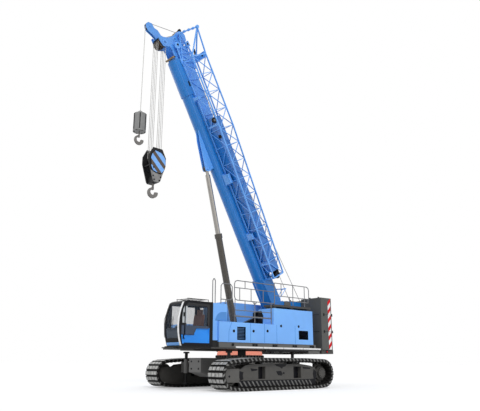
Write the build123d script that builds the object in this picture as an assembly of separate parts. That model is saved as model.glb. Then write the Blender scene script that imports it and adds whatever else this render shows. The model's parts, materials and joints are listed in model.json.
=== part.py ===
from build123d import *
import math
import os

# Telescopic crawler crane. Millimetres, +X forward, +Y to the left, +Z up.
# The origin lies on the ground under the slewing axis.

# Driving dimensions of the undercarriage
shoe_width = 800.0
gauge = 3950.0
shoe_count = 64
shoe_rise = 40.0
shoe_seat = 15.0
shoe_gap = 28.0
link_depth = 60.0
track_top = 1110.0
idler_x = 2340.0
idler_z = 540.0
idler_wrap = 500.0
sprocket_x = -2350.0
sprocket_z = 560.0
sprocket_wrap = 520.0
ground_roller_reach = 1850.0
ground_wrap = 260.0
carrier_reach = 1330.0
carrier_wrap = 220.0
seat_gap = 0.3
run_gap = 0.05
plate = 30.0
roller_radius = 108.0
roller_width = 330.0
roller_count = 9
carrier_roller_radius = 60.0
frame_half = 215.0
frame_bottom = 350.0
frame_top = 900.0
frame_windows = ((700.0, 1050.0), (-1170.0, -760.0))
frame_foot = 70.0
axle_radius = 42.0

# Carbody, jacks and slewing ring
carbody_half = 1130.0
carbody_bottom = 520.0
carbody_top = 1110.0
nose_reach = 2200.0
nose_half = 360.0
beam_reach = 1330.0
beam_half = 250.0
jack_x = 1660.0
jack_y = 1300.0
jack_radius = 62.0
jack_sleeve = 92.0
jack_top = 1350.0
jack_foot_z = 120.0
jack_foot_radius = 150.0
ring_radius = 900.0
ring_bore = 700.0
ring_seat_height = 110.0
ring_height = 145.0

# Upper structure
deck_thick = 100.0
deck_front = 2640.0
deck_rear = -3170.0
deck_half = 1500.0
spine_half = 430.0
cheek_thick = 50.0
cheek_inner = 345.0
skirt_height = 185.0
sill_front = -2420.0
housing_low_front = 2290.0
housing_step = -450.0
hood_step = 300.0
hood_top = 3350.0
housing_rear = -2750.0
housing_low_top = 2370.0
housing_high_top = 3000.0
housing_inner = 620.0
housing_wall = 40.0
housing_round = 60.0
tail_front = -3200.0
tail_rear = -4000.0
tail_half = deck_half + 60.0
tail_bottom = 1300.0
tail_joints = (1460.0, 2210.0, 2910.0, 3620.0)
tail_slot_half = 440.0
tail_slot_rear = -3650.0
main_winch_x = -2950.0
main_winch_z = 2690.0
main_winch_r = 215.0
aux_winch_x = -3300.0
aux_winch_z = 3270.0
aux_winch_r = 240.0
winch_half = 250.0

# Cab
cab_rear = 2580.0
cab_front = 3960.0
cab_inner = 625.0
cab_outer = deck_half
cab_floor = 1480.0
cab_roof = 3010.0
cab_wall = 45.0
door_gap = 6.0

# Boom, in its own frame: along it, across it, and up from its axis
boom_angle = 61.0
foot_x = -2017.0
foot_z = 2900.0
boom_width = 580.0
boom_depth = 680.0
belly_radius = 330.0
boom_wall = 12.0
boom_nest = 25.0
boom_tail = 200.0
pivot_s = 350.0
boom_end = 10270.0
collar_length = 260.0
collar_stand = 22.0
section_step = 330.0
section_first = 620.0
section_stagger = 60.0
pivot_radius = 75.0
eye_s = 6900.0
eye_h = -608.0
eye_pin = 55.0
eye_radius = 125.0
eye_half = 70.0
ear_thick = 24.0

# Lift cylinder
cylinder_foot_x = 150.0
cylinder_foot_z = 1800.0
barrel_radius = 136.0
barrel_length = 4300.0
rod_radius = 100.0
rod_start = 2940.0
foot_pin = 60.0
foot_half = 137.0

# Boom head
main_sheave_s = 12290.0
main_sheave_h = -510.0
main_sheave_r = 200.0
main_sheave_pitch = 110.0
sheave_thick = 60.0
head_half = 245.0
head_plate = 25.0
nose_sheave_s = 13045.0
nose_sheave_h = -716.0
nose_sheave_r = 180.0
nose_inner = 45.0
top_sheave_s = 12400.0
top_sheave_h = 540.0
top_sheave_r = 165.0

# Ropes, hook block and weight
rope_radius = 11.0
block_top = 8790.0
block_bottom = 7440.0
block_width = 750.0
block_half = 240.0
hook_bottom = 6860.0
weight_top = 10190.0
weight_bottom = 9340.0
weight_radius = 243.0
aux_hook_bottom = 8810.0

# Stowed lattice jib, in the boom's frame
jib_chord = 46.0
jib_lace = 26.0
jib_joint_s = 8200.0
root_bays = 4
taper_bays = 9
fork_eye = (12500.0, 372.0, 380.0)
fork_ball = (12460.0, 1000.0, 860.0)
stage_ends = (1900.0, 8750.0)
stage_y = (390.0, 785.0)
stage_h = (10.0, 460.0)
tip_sheave_r = 130.0


def block_of(x, y, z):
    size = [hi - lo for lo, hi in (x, y, z)]
    mid = [(hi + lo) / 2 for lo, hi in (x, y, z)]
    return Pos(*mid) * Box(*size)


def sheet_of(points, y_low, y_high):
    """A plate cut to an outline of (x, z) points, standing between two places across."""
    outline = make_face(Plane.XZ * Polyline(*points, close=True))
    return Pos(0, y_low, 0) * extrude(outline, amount=y_high - y_low, dir=(0, 1, 0))


def pin_along_y(x, z, radius, y_low, y_high):
    lying = Pos(x, (y_low + y_high) / 2, z) * Rot(90, 0, 0)
    return lying * Cylinder(radius, abs(y_high - y_low))


def round_bar(a, b, radius):
    a, b = Vector(*a), Vector(*b)
    place = Plane(origin=(a + b) * 0.5, z_dir=b - a)
    return place * Cylinder(radius, (b - a).length)


def square_bar(a, b, width):
    a, b = Vector(*a), Vector(*b)
    along = b - a
    side = Vector(0, 1, 0) if abs(along.Y) < 0.9 * along.length else Vector(1, 0, 0)
    place = Plane(origin=(a + b) * 0.5, x_dir=along.cross(side), z_dir=along)
    return place * Box(width, width, along.length)


def fuse(*pieces):
    pieces = [piece for piece in pieces if piece is not None]
    whole = pieces[0]
    if len(pieces) > 1:
        whole = whole.fuse(*pieces[1:])
    return Compound(children=list(whole)) if isinstance(whole, list) else whole


def boom_point(s, h):
    """Where a place beside the boom's axis is in the world, as x and z."""
    a = math.radians(boom_angle)
    return (foot_x + s * math.cos(a) - h * math.sin(a), foot_z + s * math.sin(a) + h * math.cos(a))


def both_sides(piece):
    return [piece, mirror(piece, about=Plane.XZ)]


def together(pieces):
    flat = []
    for piece in pieces:
        flat.extend(piece.solids())
    return Compound(children=flat)


# Tracks: a belt laid round circles, cut into flat shoes between its pins

def belt_circles(inset):
    """Circles the belt wraps, in order, as x, z, radius."""
    return [
        (idler_x, idler_z, idler_wrap - inset),
        (carrier_reach, track_top - carrier_wrap, carrier_wrap - inset),
        (-carrier_reach, track_top - carrier_wrap, carrier_wrap - inset),
        (sprocket_x, sprocket_z, sprocket_wrap - inset),
        (-ground_roller_reach, ground_wrap, ground_wrap - inset),
        (ground_roller_reach, ground_wrap, ground_wrap - inset),
    ]


def belt_stretches(inset):
    """Straight and round stretches of the belt, each as a length and a function along it."""
    circles = belt_circles(inset)
    normals = []
    for here, after in zip(circles, circles[1:] + circles[:1]):
        dx, dz = after[0] - here[0], after[1] - here[1]
        span = math.hypot(dx, dz)
        turn = math.asin((here[2] - after[2]) / span)
        normals.append(math.atan2(dz, dx) - math.pi / 2 + turn)
    stretches = []
    count = len(circles)
    for index in range(count):
        x, z, radius = circles[index]
        enter, leave = normals[index - 1], normals[index]
        swing = (leave - enter) % (2 * math.pi)
        stretches.append(("round", radius * swing, (x, z, radius, enter, swing)))
        after = circles[(index + 1) % count]
        a = (x + radius * math.cos(leave), z + radius * math.sin(leave))
        b = (after[0] + after[2] * math.cos(leave), after[1] + after[2] * math.sin(leave))
        stretches.append(("straight", math.dist(a, b), (a, b)))
    return stretches


def belt_point(stretches, distance):
    for kind, length, data in stretches:
        if distance > length:
            distance -= length
            continue
        share = distance / length
        if kind == "round":
            x, z, radius, enter, swing = data
            angle = enter + swing * share
            return (x + radius * math.cos(angle), z + radius * math.sin(angle))
        a, b = data
        return (a[0] + (b[0] - a[0]) * share, a[1] + (b[1] - a[1]) * share)
    return belt_point(stretches, 0.0)


def belt_pins():
    stretches = belt_stretches(shoe_rise + shoe_seat)
    total = sum(length for _, length, _ in stretches)
    return [belt_point(stretches, total * index / shoe_count) for index in range(shoe_count)]


def belt_pitch():
    pins = belt_pins()
    return max(math.dist(a, b) for a, b in zip(pins, pins[1:]))


def track():
    pins = belt_pins()
    outer, inner = [], []
    for a, b in zip(pins, pins[1:] + pins[:1]):
        pitch = math.dist(a, b)
        along = ((b[0] - a[0]) / pitch, (b[1] - a[1]) / pitch)
        out = (along[1], -along[0])
        for step, rise in (
            (shoe_gap / 2, shoe_seat),
            (shoe_gap / 2, shoe_seat + shoe_rise),
            (pitch - shoe_gap / 2, shoe_seat + shoe_rise),
            (pitch - shoe_gap / 2, shoe_seat),
        ):
            outer.append((a[0] + along[0] * step + out[0] * rise, a[1] + along[1] * step + out[1] * rise))
        middle = pitch / 2
        inner.append((a[0] + along[0] * middle - out[0] * link_depth,
                      a[1] + along[1] * middle - out[1] * link_depth))
    y_low, y_high = gauge / 2 - shoe_width / 2, gauge / 2 + shoe_width / 2
    return sheet_of(outer, y_low, y_high) - sheet_of(inner, y_low, y_high)


def wheel_radius(wrap):
    """The largest wheel that the flat links leave room for."""
    pin_circle = wrap - shoe_rise - shoe_seat
    flat = math.cos(math.asin(belt_pitch() / 2 / pin_circle))
    return (pin_circle * flat - link_depth) * flat - seat_gap


def idler():
    radius = wheel_radius(idler_wrap)
    middle = gauge / 2
    rim = pin_along_y(idler_x, idler_z, radius, middle - 150, middle + 150)
    for side in (-1, 1):
        dish = pin_along_y(idler_x, idler_z, radius - 70, middle + side * 110, middle + side * 160)
        rim -= dish
    hub = pin_along_y(idler_x, idler_z, 110, middle - frame_half + plate + seat_gap,
                      middle + frame_half - plate - seat_gap)
    return fuse(rim, hub)


def sprocket():
    radius = wheel_radius(sprocket_wrap)
    middle = gauge / 2
    teeth = 13
    points = []
    for index in range(teeth * 4):
        angle = 2 * math.pi * index / (teeth * 4)
        reach = radius if index % 4 in (0, 1) else radius - 55
        points.append((sprocket_x + reach * math.cos(angle), sprocket_z + reach * math.sin(angle)))
    wheel = sheet_of(points, middle - 55, middle + 55)
    hub = pin_along_y(sprocket_x, sprocket_z, 235, middle - 150, middle + frame_half - 60)
    cover = pin_along_y(sprocket_x, sprocket_z, 190, middle + frame_half - 60, middle + frame_half + 40)
    motor = pin_along_y(sprocket_x, sprocket_z, 170, middle - frame_half - 190, middle - 150)
    return fuse(wheel, hub, cover, motor)


def ground_roller_places():
    reach = ground_roller_reach - 200
    return [reach - 2 * reach * index / (roller_count - 1) for index in range(roller_count)]


def ground_rollers():
    middle = gauge / 2
    z = shoe_rise + shoe_seat + link_depth + roller_radius + seat_gap
    rollers = []
    for x in ground_roller_places():
        body = pin_along_y(x, z, roller_radius, middle - roller_width / 2, middle + roller_width / 2)
        waist = pin_along_y(x, z, roller_radius + 5, middle - 60, middle + 60)
        waist -= pin_along_y(x, z, roller_radius - 25, middle - 60, middle + 60)
        shaft = pin_along_y(x, z, axle_radius, middle - frame_half + plate + seat_gap,
                            middle + frame_half - plate - seat_gap)
        rollers.append(fuse(body - waist, shaft))
    return rollers


def carrier_rollers():
    middle = gauge / 2
    z = track_top - shoe_rise - shoe_seat - link_depth - carrier_roller_radius - seat_gap
    rollers = []
    for x in (-carrier_reach * 0.62, carrier_reach * 0.62):
        rollers.append(pin_along_y(x, z, carrier_roller_radius, middle - 120, middle + 120))
    return rollers


def track_frame():
    middle = gauge / 2
    foot_end = ground_roller_reach - frame_foot
    side = [
        (foot_end, frame_bottom), (idler_x + 220, 420), (idler_x + 280, 470), (idler_x + 280, 640),
        (idler_x + 220, 690), (idler_x - 440, 720),
        (1640, frame_top - 40), (1200, frame_top), (-1200, frame_top), (-1700, frame_top - 60),
        (-1980, 760), (-1980, frame_bottom + 60), (-foot_end, frame_bottom),
    ]
    plates = [
        sheet_of(side, middle + frame_half - plate, middle + frame_half),
        sheet_of(side, middle - frame_half, middle - frame_half + plate),
    ]
    core = [
        (foot_end - 80, frame_bottom + 10), (foot_end - 80, 700), (1150, frame_top - 40), (-1150, frame_top - 40),
        (-foot_end - 120, 720), (-foot_end - 120, frame_bottom + 10),
    ]
    beam = sheet_of(core, middle - frame_half, middle + frame_half)
    for x_low, x_high in frame_windows:
        window = block_of((x_low, x_high), (middle - 500, middle + 500), (frame_bottom + 40, frame_top - 90))
        beam -= window
        plates = [piece - window for piece in plates]
    lugs = []
    z = shoe_rise + shoe_seat + link_depth + roller_radius + seat_gap
    for x in ground_roller_places():
        for inner in (middle - frame_half, middle + frame_half - plate):
            lugs.append(block_of((x - 55, x + 55), (inner, inner + plate), (z - 50, frame_bottom + 30)))
    carrier_z = track_top - shoe_rise - shoe_seat - link_depth - carrier_roller_radius - seat_gap
    for x in (-carrier_reach * 0.62, carrier_reach * 0.62):
        for inner in (middle - 120 - seat_gap - plate, middle + 120 + seat_gap):
            lugs.append(block_of((x - 50, x + 50), (inner, inner + plate), (frame_top - 60, carrier_z + 40)))
    hub_seat = pin_along_y(sprocket_x, sprocket_z, 262, middle - 145, middle + frame_half - 75)
    hub_seat -= pin_along_y(sprocket_x, sprocket_z, 235 + seat_gap, middle - 150, middle + frame_half)
    hub_seat -= block_of((sprocket_x - 400, sprocket_x + 400), (middle - 60 - seat_gap, middle + 60 + seat_gap),
                         (sprocket_z - 400, sprocket_z + 400))
    arm = block_of((-2200, -1900), (middle + 70, middle + 140), (440, 700))
    arm2 = block_of((-2200, -1900), (middle - 140, middle - 70), (440, 700))
    hole = pin_along_y(sprocket_x, sprocket_z, 235 + seat_gap, middle - 150, middle + frame_half)
    return fuse(beam, *plates, *lugs, arm - hole, arm2 - hole, hub_seat)


# Carbody with its cross beams, jacks and the seat of the slewing ring

def carbody():
    middle_box = sheet_of([(-carbody_half, carbody_bottom), (carbody_half, carbody_bottom),
                           (carbody_half, carbody_top), (-carbody_half, carbody_top)],
                          -carbody_half, carbody_half)
    nose = [(carbody_half - 200, carbody_top), (nose_reach, carbody_top), (nose_reach, 600),
            (1700, 430), (carbody_half - 200, 430)]
    parts = [middle_box, sheet_of(nose, -nose_half, nose_half)]
    tail = [(-x, z) for x, z in nose]
    parts.append(sheet_of(tail, -nose_half, nose_half))
    track_side = gauge / 2 - frame_half - seat_gap
    for x in (-beam_reach, beam_reach):
        parts.append(block_of((x - beam_half, x + beam_half), (-track_side, track_side), (560, 960)))
    for x in (-jack_x, jack_x):
        for y in (-jack_y, jack_y):
            sleeve = Pos(x, y, 800) * Cylinder(jack_sleeve, 520)
            tie = block_of((x - 80, x + 80), (y - 60, y + 60), (620, 900))
            inward = -1 if x > 0 else 1
            tie = Pos(inward * 90, 0, 0) * tie
            parts.append(sleeve)
            parts.append(tie)
    body = fuse(*parts)
    for x in (-jack_x, jack_x):
        for y in (-jack_y, jack_y):
            body -= Pos(x, y, 800) * Cylinder(jack_radius + seat_gap, 600)
    seat = Pos(0, 0, carbody_top + ring_seat_height / 2) * Cylinder(ring_radius + 40, ring_seat_height)
    bore = Pos(0, 0, carbody_top) * Cylinder(ring_bore, 400)
    return fuse(body, seat) - bore


def jacks():
    legs = []
    for x in (-jack_x, jack_x):
        for y in (-jack_y, jack_y):
            post_height = jack_top - jack_foot_z
            post = Pos(x, y, jack_foot_z + post_height / 2) * Cylinder(jack_radius, post_height)
            foot = Pos(x, y, jack_foot_z + 30) * Cylinder(jack_foot_radius, 60)
            cap = Pos(x, y, jack_top - 25) * Cylinder(jack_radius + 28, 50)
            legs.append(fuse(post, foot, cap))
    return legs


def slewing_ring():
    low = carbody_top + ring_seat_height + seat_gap
    points = 60
    teeth = []
    for index in range(points * 2):
        angle = math.pi * index / points
        reach = ring_radius if index % 2 else ring_radius - 22
        teeth.append((reach * math.cos(angle), reach * math.sin(angle)))
    gear = extrude(make_face(Polyline(*teeth, close=True)), amount=ring_height * 0.6)
    lip = Pos(0, 0, ring_height * 0.8) * Cylinder(ring_radius - 22, ring_height * 0.4)
    ring = Pos(0, 0, low) * fuse(gear, lip)
    return ring - Pos(0, 0, low + ring_height / 2) * Cylinder(ring_bore, ring_height * 2)


# Upper structure

deck_low = carbody_top + ring_seat_height + ring_height + 2 * seat_gap
deck_high = deck_low + deck_thick
skirt_high = deck_high + skirt_height


pivot_at = boom_point(pivot_s, 0)


def turntable():
    deck = block_of((deck_rear, deck_front), (-deck_half, deck_half), (deck_high - 50, deck_high))
    spine = block_of((deck_rear, deck_front - 60), (-spine_half, spine_half), (deck_low, deck_high))
    bearing = Pos(0, 0, (deck_low + deck_high) / 2) * Cylinder(ring_radius - 22, deck_high - deck_low)
    return fuse(deck, spine, bearing)


def cheek():
    """The upright plate on the left that carries the boom's pivot and the winches."""
    foot = deck_high + seat_gap
    x, z = pivot_at
    outline = [
        (deck_front - 300, foot), (deck_front - 420, 1760), (700, 2060), (-500, 2330), (x + 500, 2860),
        (x + 260, z + 40), (x + 150, z + 200), (x, z + 245), (x - 690, z + 290), (aux_winch_x + 60, 3520),
        (aux_winch_x - 260, 3380), (aux_winch_x - 260, 3020), (-3150, 2950), (-3150, foot),
    ]
    plate_body = sheet_of(outline, cheek_inner, cheek_inner + cheek_thick)
    collar = pin_along_y(x, z, pivot_radius + 70, cheek_inner + cheek_thick - 5, cheek_inner + cheek_thick + 25)
    return fuse(plate_body, collar) - pin_along_y(x, z, pivot_radius + run_gap, 0, 900)


def lift_foot_ears():
    foot = deck_high + seat_gap
    outline = [(cylinder_foot_x - 330, foot), (cylinder_foot_x + 330, foot),
               (cylinder_foot_x + 150, cylinder_foot_z + 130), (cylinder_foot_x - 150, cylinder_foot_z + 130)]
    ear = sheet_of(outline, foot_half + 8, foot_half + 8 + plate)
    return both_sides(ear)


def skirts():
    pieces = []
    for side in (-1, 1):
        low, high = sorted((side * housing_inner, side * (deck_half - 15)))
        pieces.append(block_of((housing_rear - 120, housing_low_front - 20), (low, high),
                               (deck_high + seat_gap, skirt_high)))
        pieces.append(block_of((deck_rear + 60, sill_front), (low, high), (tail_bottom, deck_high - 50 - seat_gap)))
    return pieces


grille_mouths = {
    1: ((-2420, -1850, 1840, 2190), (1020, 1440, 1740, 2210)),
    -1: ((-2560, -1500, 1900, 2900), (1020, 1440, 1740, 2210)),
}


def side_housing(side):
    low, high = sorted((side * housing_inner, side * deck_half))
    z0 = skirt_high + seat_gap
    step, top = (housing_step, housing_high_top) if side > 0 else (hood_step, hood_top)
    outline = [
        (housing_rear, z0), (housing_low_front, z0), (housing_low_front, housing_low_top),
        (step, housing_low_top), (step, top), (housing_rear, top),
    ]
    shell = sheet_of(outline, low, high)
    corners = shell.edges().filter_by(Axis.Z).group_by(Axis.X)[0]
    outer_corner = corners.sort_by(Axis.Y)[-1 if side > 0 else 0]
    shell = fillet(outer_corner, housing_round)
    wall = housing_wall
    shell -= block_of((housing_rear + wall, step - wall), (low + wall, high - wall), (z0 - 10, top - wall))
    for x_low, x_high, z_low, z_high in grille_mouths[side]:
        mouth = sorted((side * (deck_half + 10), side * (deck_half - wall - 10)))
        shell -= block_of((x_low, x_high), mouth, (z_low, z_high))
    return shell


def engine():
    return block_of((-2450, -1100), (180 - deck_half, -housing_inner - 120), (skirt_high + seat_gap, 2760))


def grilles():
    slats = []
    rows = 8
    for side, mouths in grille_mouths.items():
        for x_low, x_high, z_low, z_high in mouths:
            y = sorted((side * (deck_half - 12), side * (deck_half - 36)))
            frame = block_of((x_low + seat_gap, x_high - seat_gap), y, (z_low + seat_gap, z_high - seat_gap))
            pitch = (z_high - z_low - 60) / rows
            for row in range(rows):
                z = z_low + 30 + pitch * (row + 0.2)
                frame -= block_of((x_low + 30, x_high - 30), (y[0] - 5, y[1] + 5), (z, z + pitch * 0.5))
            slats.append(frame)
    return slats


def rear_locker():
    z0 = deck_high + seat_gap
    front, rear = cab_rear - 20, housing_low_front + 10
    low = housing_low_top + 30
    outline = [(front, z0), (rear, z0), (rear, low), (1870, low), (1870, 3000), (front - 20, 3000)]
    return sheet_of(outline, 880, 1420)


def counterweight_slab(low, high):
    chamfer = 130.0
    points = [(tail_front, -tail_half), (tail_front, tail_half), (tail_rear + chamfer, tail_half),
              (tail_rear, tail_half - chamfer), (tail_rear, -tail_half + chamfer), (tail_rear + chamfer, -tail_half)]
    slab = extrude(make_face(Polyline(*points, close=True)), amount=high - low - seat_gap)
    return Pos(0, 0, low) * slab


def counterweights():
    slabs = []
    for low, high in zip(tail_joints, tail_joints[1:]):
        slabs.append(counterweight_slab(low, high))
    lugs = []
    top = tail_joints[-1] - seat_gap
    for y in (-1100, -600, 600, 1100):
        lug = block_of((-3640, -3560), (y - 20, y + 20), (top - 10, top + 90))
        lugs.append(lug - pin_along_y(-3600, top + 50, 20, y - 40, y + 40))
    slot = block_of((tail_slot_rear, tail_front + 1), (-tail_slot_half, tail_slot_half),
                    (tail_joints[-2] - 1, top + 1))
    slabs[-1] = fuse(slabs[-1] - slot, *lugs)
    return slabs


def tail_carrier():
    z_high = tail_joints[0] - seat_gap
    plate_body = block_of((tail_rear + 60, tail_front + 0), (-tail_half + 40, tail_half - 40), (tail_bottom, z_high))
    web = block_of((tail_front, deck_rear - seat_gap), (-deck_half + 200, deck_half - 200), (deck_low, deck_high))
    return fuse(plate_body, web)


def winch(x, z, radius, half):
    barrel = pin_along_y(x, z, radius * 0.62, -half, half)
    parts = [barrel]
    for side in (-1, 1):
        low, high = sorted((side * half, side * (half + 22)))
        parts.append(pin_along_y(x, z, radius, low, high))
    stub = cheek_inner - seat_gap
    parts.append(pin_along_y(x, z, radius * 0.3, -stub, stub))
    return fuse(*parts)


walk_low = 3080.0
walk_high = 3160.0
walk_inner = 865.0
rail_radius = 17.0
rail_y = 1380.0


def walkways():
    """A raised grating on the left housing, on three cross bearers."""
    x_low, x_high = housing_rear + 60, housing_step - 60
    y = (walk_inner, deck_half - 70)
    parts = [block_of((x_low, x_high), y, (walk_low, walk_high))]
    for share in (0.06, 0.5, 0.94):
        x = x_low + (x_high - x_low) * share
        parts.append(block_of((x - 60, x + 60), (y[0] + 40, y[1] - 40), (housing_high_top + seat_gap, walk_low + 5)))
    return [fuse(*parts)]


def rail_run(points, radius=rail_radius):
    """Round bars through (x, z) points in the plane of the left guardrail."""
    return [round_bar((a[0], rail_y, a[1]), (b[0], rail_y, b[1]), radius) for a, b in zip(points, points[1:])]


def guardrails():
    thin = rail_radius * 0.9
    roof = housing_low_top + seat_gap
    deck = walk_high + seat_gap
    front, middle, rear = 1480.0, -620.0, -2650.0
    fore_top, aft_top, fore_low, aft_low = 3920.0, 4010.0, 3190.0, 3510.0
    bars = rail_run([(middle, fore_top), (front - 130, fore_top), (front - 38, fore_top - 38), (front, fore_top - 130),
                     (front, fore_low + 130), (front - 38, fore_low + 38), (front - 130, fore_low),
                     (middle, fore_low)])
    bars += rail_run([(middle, fore_low), (middle, aft_top), (rear + 130, aft_top), (rear + 38, aft_top - 38),
                      (rear, aft_top - 130), (rear, aft_low)])
    bars += rail_run([(front, 3650), (middle, 3650)], thin)
    bars += rail_run([(middle, aft_low), (rear, aft_low)], thin)
    bars += rail_run([(-1480, 3350), (rear + 50, 3350), (rear + 50, aft_low)], thin)
    bars += rail_run([(1450, 2820), (-425, 2820)], thin)
    bars += rail_run([(1450, 2600), (-425, 2600)], 28)
    bars += rail_run([(330, fore_low), (450, 3080), (570, fore_low)], thin)
    posts = (
        (1450, roof, fore_low + 20), (450, roof, fore_low), (-425, roof, fore_low), (950, 2820, fore_low),
        (950, 3650, fore_top), (1220, fore_low, 3650), (640, fore_low, 3650), (0, fore_low, 3650),
        (-1000, aft_low, aft_top), (-1680, deck, aft_top), (-2380, deck, aft_top), (-1480, 3350, aft_low),
    )
    for x, low, high in posts:
        bars += rail_run([(x, low), (x, high)], thin)
    top = housing_high_top + seat_gap
    fore_loop = [(2520, top), (2520, 3810), (2480, 3880), (2440, 3880), (2400, 3810), (2400, top)]
    aft_loop = [(2130, top), (2130, 3660), (2050, 3750), (1670, 3750), (1590, 3660), (1590, 3250), (1670, 3170),
                (2130, 3170)]
    brace = rail_run([(1900, top), (1900, 3170)])
    return [fuse(*bars), fuse(*rail_run(fore_loop)), fuse(*rail_run(aft_loop), *brace)]


# Cab

def cab_outline(inset):
    """Side view of the cab: an upright rear, a crowned roof and a bowed front."""
    rear, front = cab_rear + inset, cab_front - inset
    low, high = cab_floor + inset, cab_roof - inset
    edges = [
        Line((rear, low), (front - 60, low)),
        ThreePointArc((front - 60, low), (front + 70, low + 620), (front - 120, high - 60)),
        Line((front - 120, high - 60), (front - 240, high)),
        Line((front - 240, high), (rear, high)),
        Line((rear, high), (rear, low)),
    ]
    return make_face(Plane.XZ * Wire(edges))


def cab_block(inset):
    width = cab_outer - cab_inner - 2 * inset
    return Pos(0, cab_inner + inset, 0) * extrude(cab_outline(inset), amount=width, dir=(0, 1, 0))


door_rear = cab_rear + 150
door_front = cab_front - 160
door_low = cab_floor + 110
door_high = cab_roof - 90


def door_cut(grow):
    outline = [
        (door_rear - grow, door_low - grow), (door_front + grow, door_low - grow), (door_front + grow, door_high - 160),
        (door_front - 120, door_high + grow), (door_rear - grow, door_high + grow),
    ]
    return sheet_of(outline, cab_outer - cab_wall - 1, cab_outer + 60)


windows = {
    "front": ((cab_front - 400, cab_front + 200), (cab_inner + 80, cab_outer - 80), (cab_floor + 260, cab_roof - 140)),
    "rear": ((cab_rear - 50, cab_rear + 80), (cab_inner + 130, cab_outer - 130), (2150, 2850)),
    "right": ((cab_rear + 160, cab_front - 200), (cab_inner - 40, cab_inner + 60), (2100, 2860)),
    "roof": ((cab_rear + 420, cab_front - 420), (cab_inner + 140, cab_outer - 140), (cab_roof - 60, cab_roof + 40)),
}


hinge_x = door_front + door_gap
hinge_y = cab_outer + 16
hinge_heights = (1780.0, 2520.0)
hinge_pin = 8.0
hinge_knuckle = 15.0


def hinge_pins():
    """Two upright pins, each held by a leaf above and one below the door's knuckle."""
    parts = []
    for z in hinge_heights:
        parts.append(Pos(hinge_x, hinge_y, z) * Cylinder(hinge_pin, 130))
        for low, high in ((z - 65, z - 45), (z + 45, z + 65)):
            parts.append(block_of((hinge_x - 9, hinge_x + 62), (cab_outer + 4, hinge_y + 12), (low, high)))
        parts.append(block_of((hinge_x + 24, hinge_x + 62), (cab_outer - 4, hinge_y + 4), (z - 65, z + 65)))
    return parts


def hinge_knuckles():
    parts = []
    for z in hinge_heights:
        parts.append(Pos(hinge_x, hinge_y, z) * Cylinder(hinge_knuckle, 70))
        parts.append(block_of((hinge_x - 80, hinge_x), (cab_outer - 2, cab_outer + 8), (z - 35, z + 35)))
    return parts


roof_seam = cab_roof - 62.0
floor_seam = cab_floor + cab_wall


def cab_panels():
    """The cab's wall cut where its real panels meet."""
    shell = cab_block(0) - cab_block(cab_wall) - door_cut(door_gap)
    for x, y, z in windows.values():
        shell -= block_of(x, y, z)
    beyond = cab_front + cab_roof
    wide = (0, beyond)
    high = (floor_seam + seat_gap, roof_seam - seat_gap)
    inside = (cab_inner + cab_wall + seat_gap, cab_outer - cab_wall - seat_gap)
    split = (cab_rear + cab_front) / 2
    panels = {
        "cab_floor": (wide, wide, (0, floor_seam)),
        "cab_roof": (wide, wide, (roof_seam, beyond)),
        "cab_rear_wall": ((0, split), inside, high),
        "cab_front_frame": ((split, beyond), inside, high),
        "cab_right_wall": (wide, (0, cab_inner + cab_wall), high),
        "cab_door_frame": (wide, (cab_outer - cab_wall, beyond), high),
    }
    cut = {name: shell & block_of(*zone) for name, zone in panels.items()}
    cut["cab_door_frame"] = fuse(cut["cab_door_frame"], *hinge_pins())
    return {name: [piece] for name, piece in cut.items()}


def cab_glass():
    skin = cab_block(14) - cab_block(22)
    panes = []
    for x, y, z in windows.values():
        shrink = seat_gap
        zone = block_of((x[0] + shrink, x[1] - shrink), (y[0] + shrink, y[1] - shrink), (z[0] + shrink, z[1] - shrink))
        panes.append(skin & zone)
    return panes


door_window = [
    (door_rear + 80, 2080), (door_front - 420, 2080), (door_front - 420, 1850), (door_front - 70, 1850),
    (door_front - 70, door_high - 200), (door_front - 170, door_high - 80), (door_rear + 80, door_high - 80),
]


def cab_door():
    outer = cab_block(0) - cab_block(cab_wall)
    leaf = outer & door_cut(0)
    leaf -= sheet_of(door_window, cab_outer - 100, cab_outer + 60)
    handle_x, handle_y = door_rear + 45, cab_outer + 28
    handle = [round_bar((handle_x, handle_y, 1950), (handle_x, handle_y, 2200), 12)]
    for z in (1960, 2190):
        handle.append(round_bar((handle_x, cab_outer - 5, z), (handle_x, handle_y + 2, z), 9))
    door = fuse(leaf, *handle, *hinge_knuckles())
    for z in hinge_heights:
        door -= Pos(hinge_x, hinge_y, z) * Cylinder(hinge_pin + run_gap, 80)
    return door


def door_glass():
    outline = make_face(Plane.XZ * Polyline(*door_window, close=True))
    smaller = offset(outline, -seat_gap, kind=Kind.INTERSECTION)
    return Pos(0, cab_outer - 22, 0) * extrude(smaller, amount=8, dir=(0, 1, 0))


def cab_seat():
    floor = cab_floor + cab_wall + seat_gap
    middle = (cab_inner + cab_outer) / 2
    base = block_of((2880, 3240), (middle - 180, middle + 180), (floor, floor + 330))
    cushion = block_of((2860, 3330), (middle - 250, middle + 250), (floor + 330, floor + 450))
    back = sheet_of([(2860, floor + 430), (2990, floor + 430), (2900, floor + 1050), (2790, floor + 1050)],
                    middle - 240, middle + 240)
    head = sheet_of([(2800, floor + 1050), (2880, floor + 1050), (2860, floor + 1230), (2790, floor + 1230)],
                    middle - 130, middle + 130)
    return fuse(base, cushion, back, head)


def cab_console():
    floor = cab_floor + cab_wall + seat_gap
    middle = (cab_inner + cab_outer) / 2
    parts = []
    for side in (-1, 1):
        y = middle + side * 330
        parts.append(block_of((2900, 3380), (y - 55, y + 55), (floor, floor + 600)))
    desk = sheet_of([(3640, floor), (3780, floor), (3740, floor + 620), (3600, floor + 700), (3580, floor + 640)],
                    middle - 200, middle + 200)
    return [*parts, desk]


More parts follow.
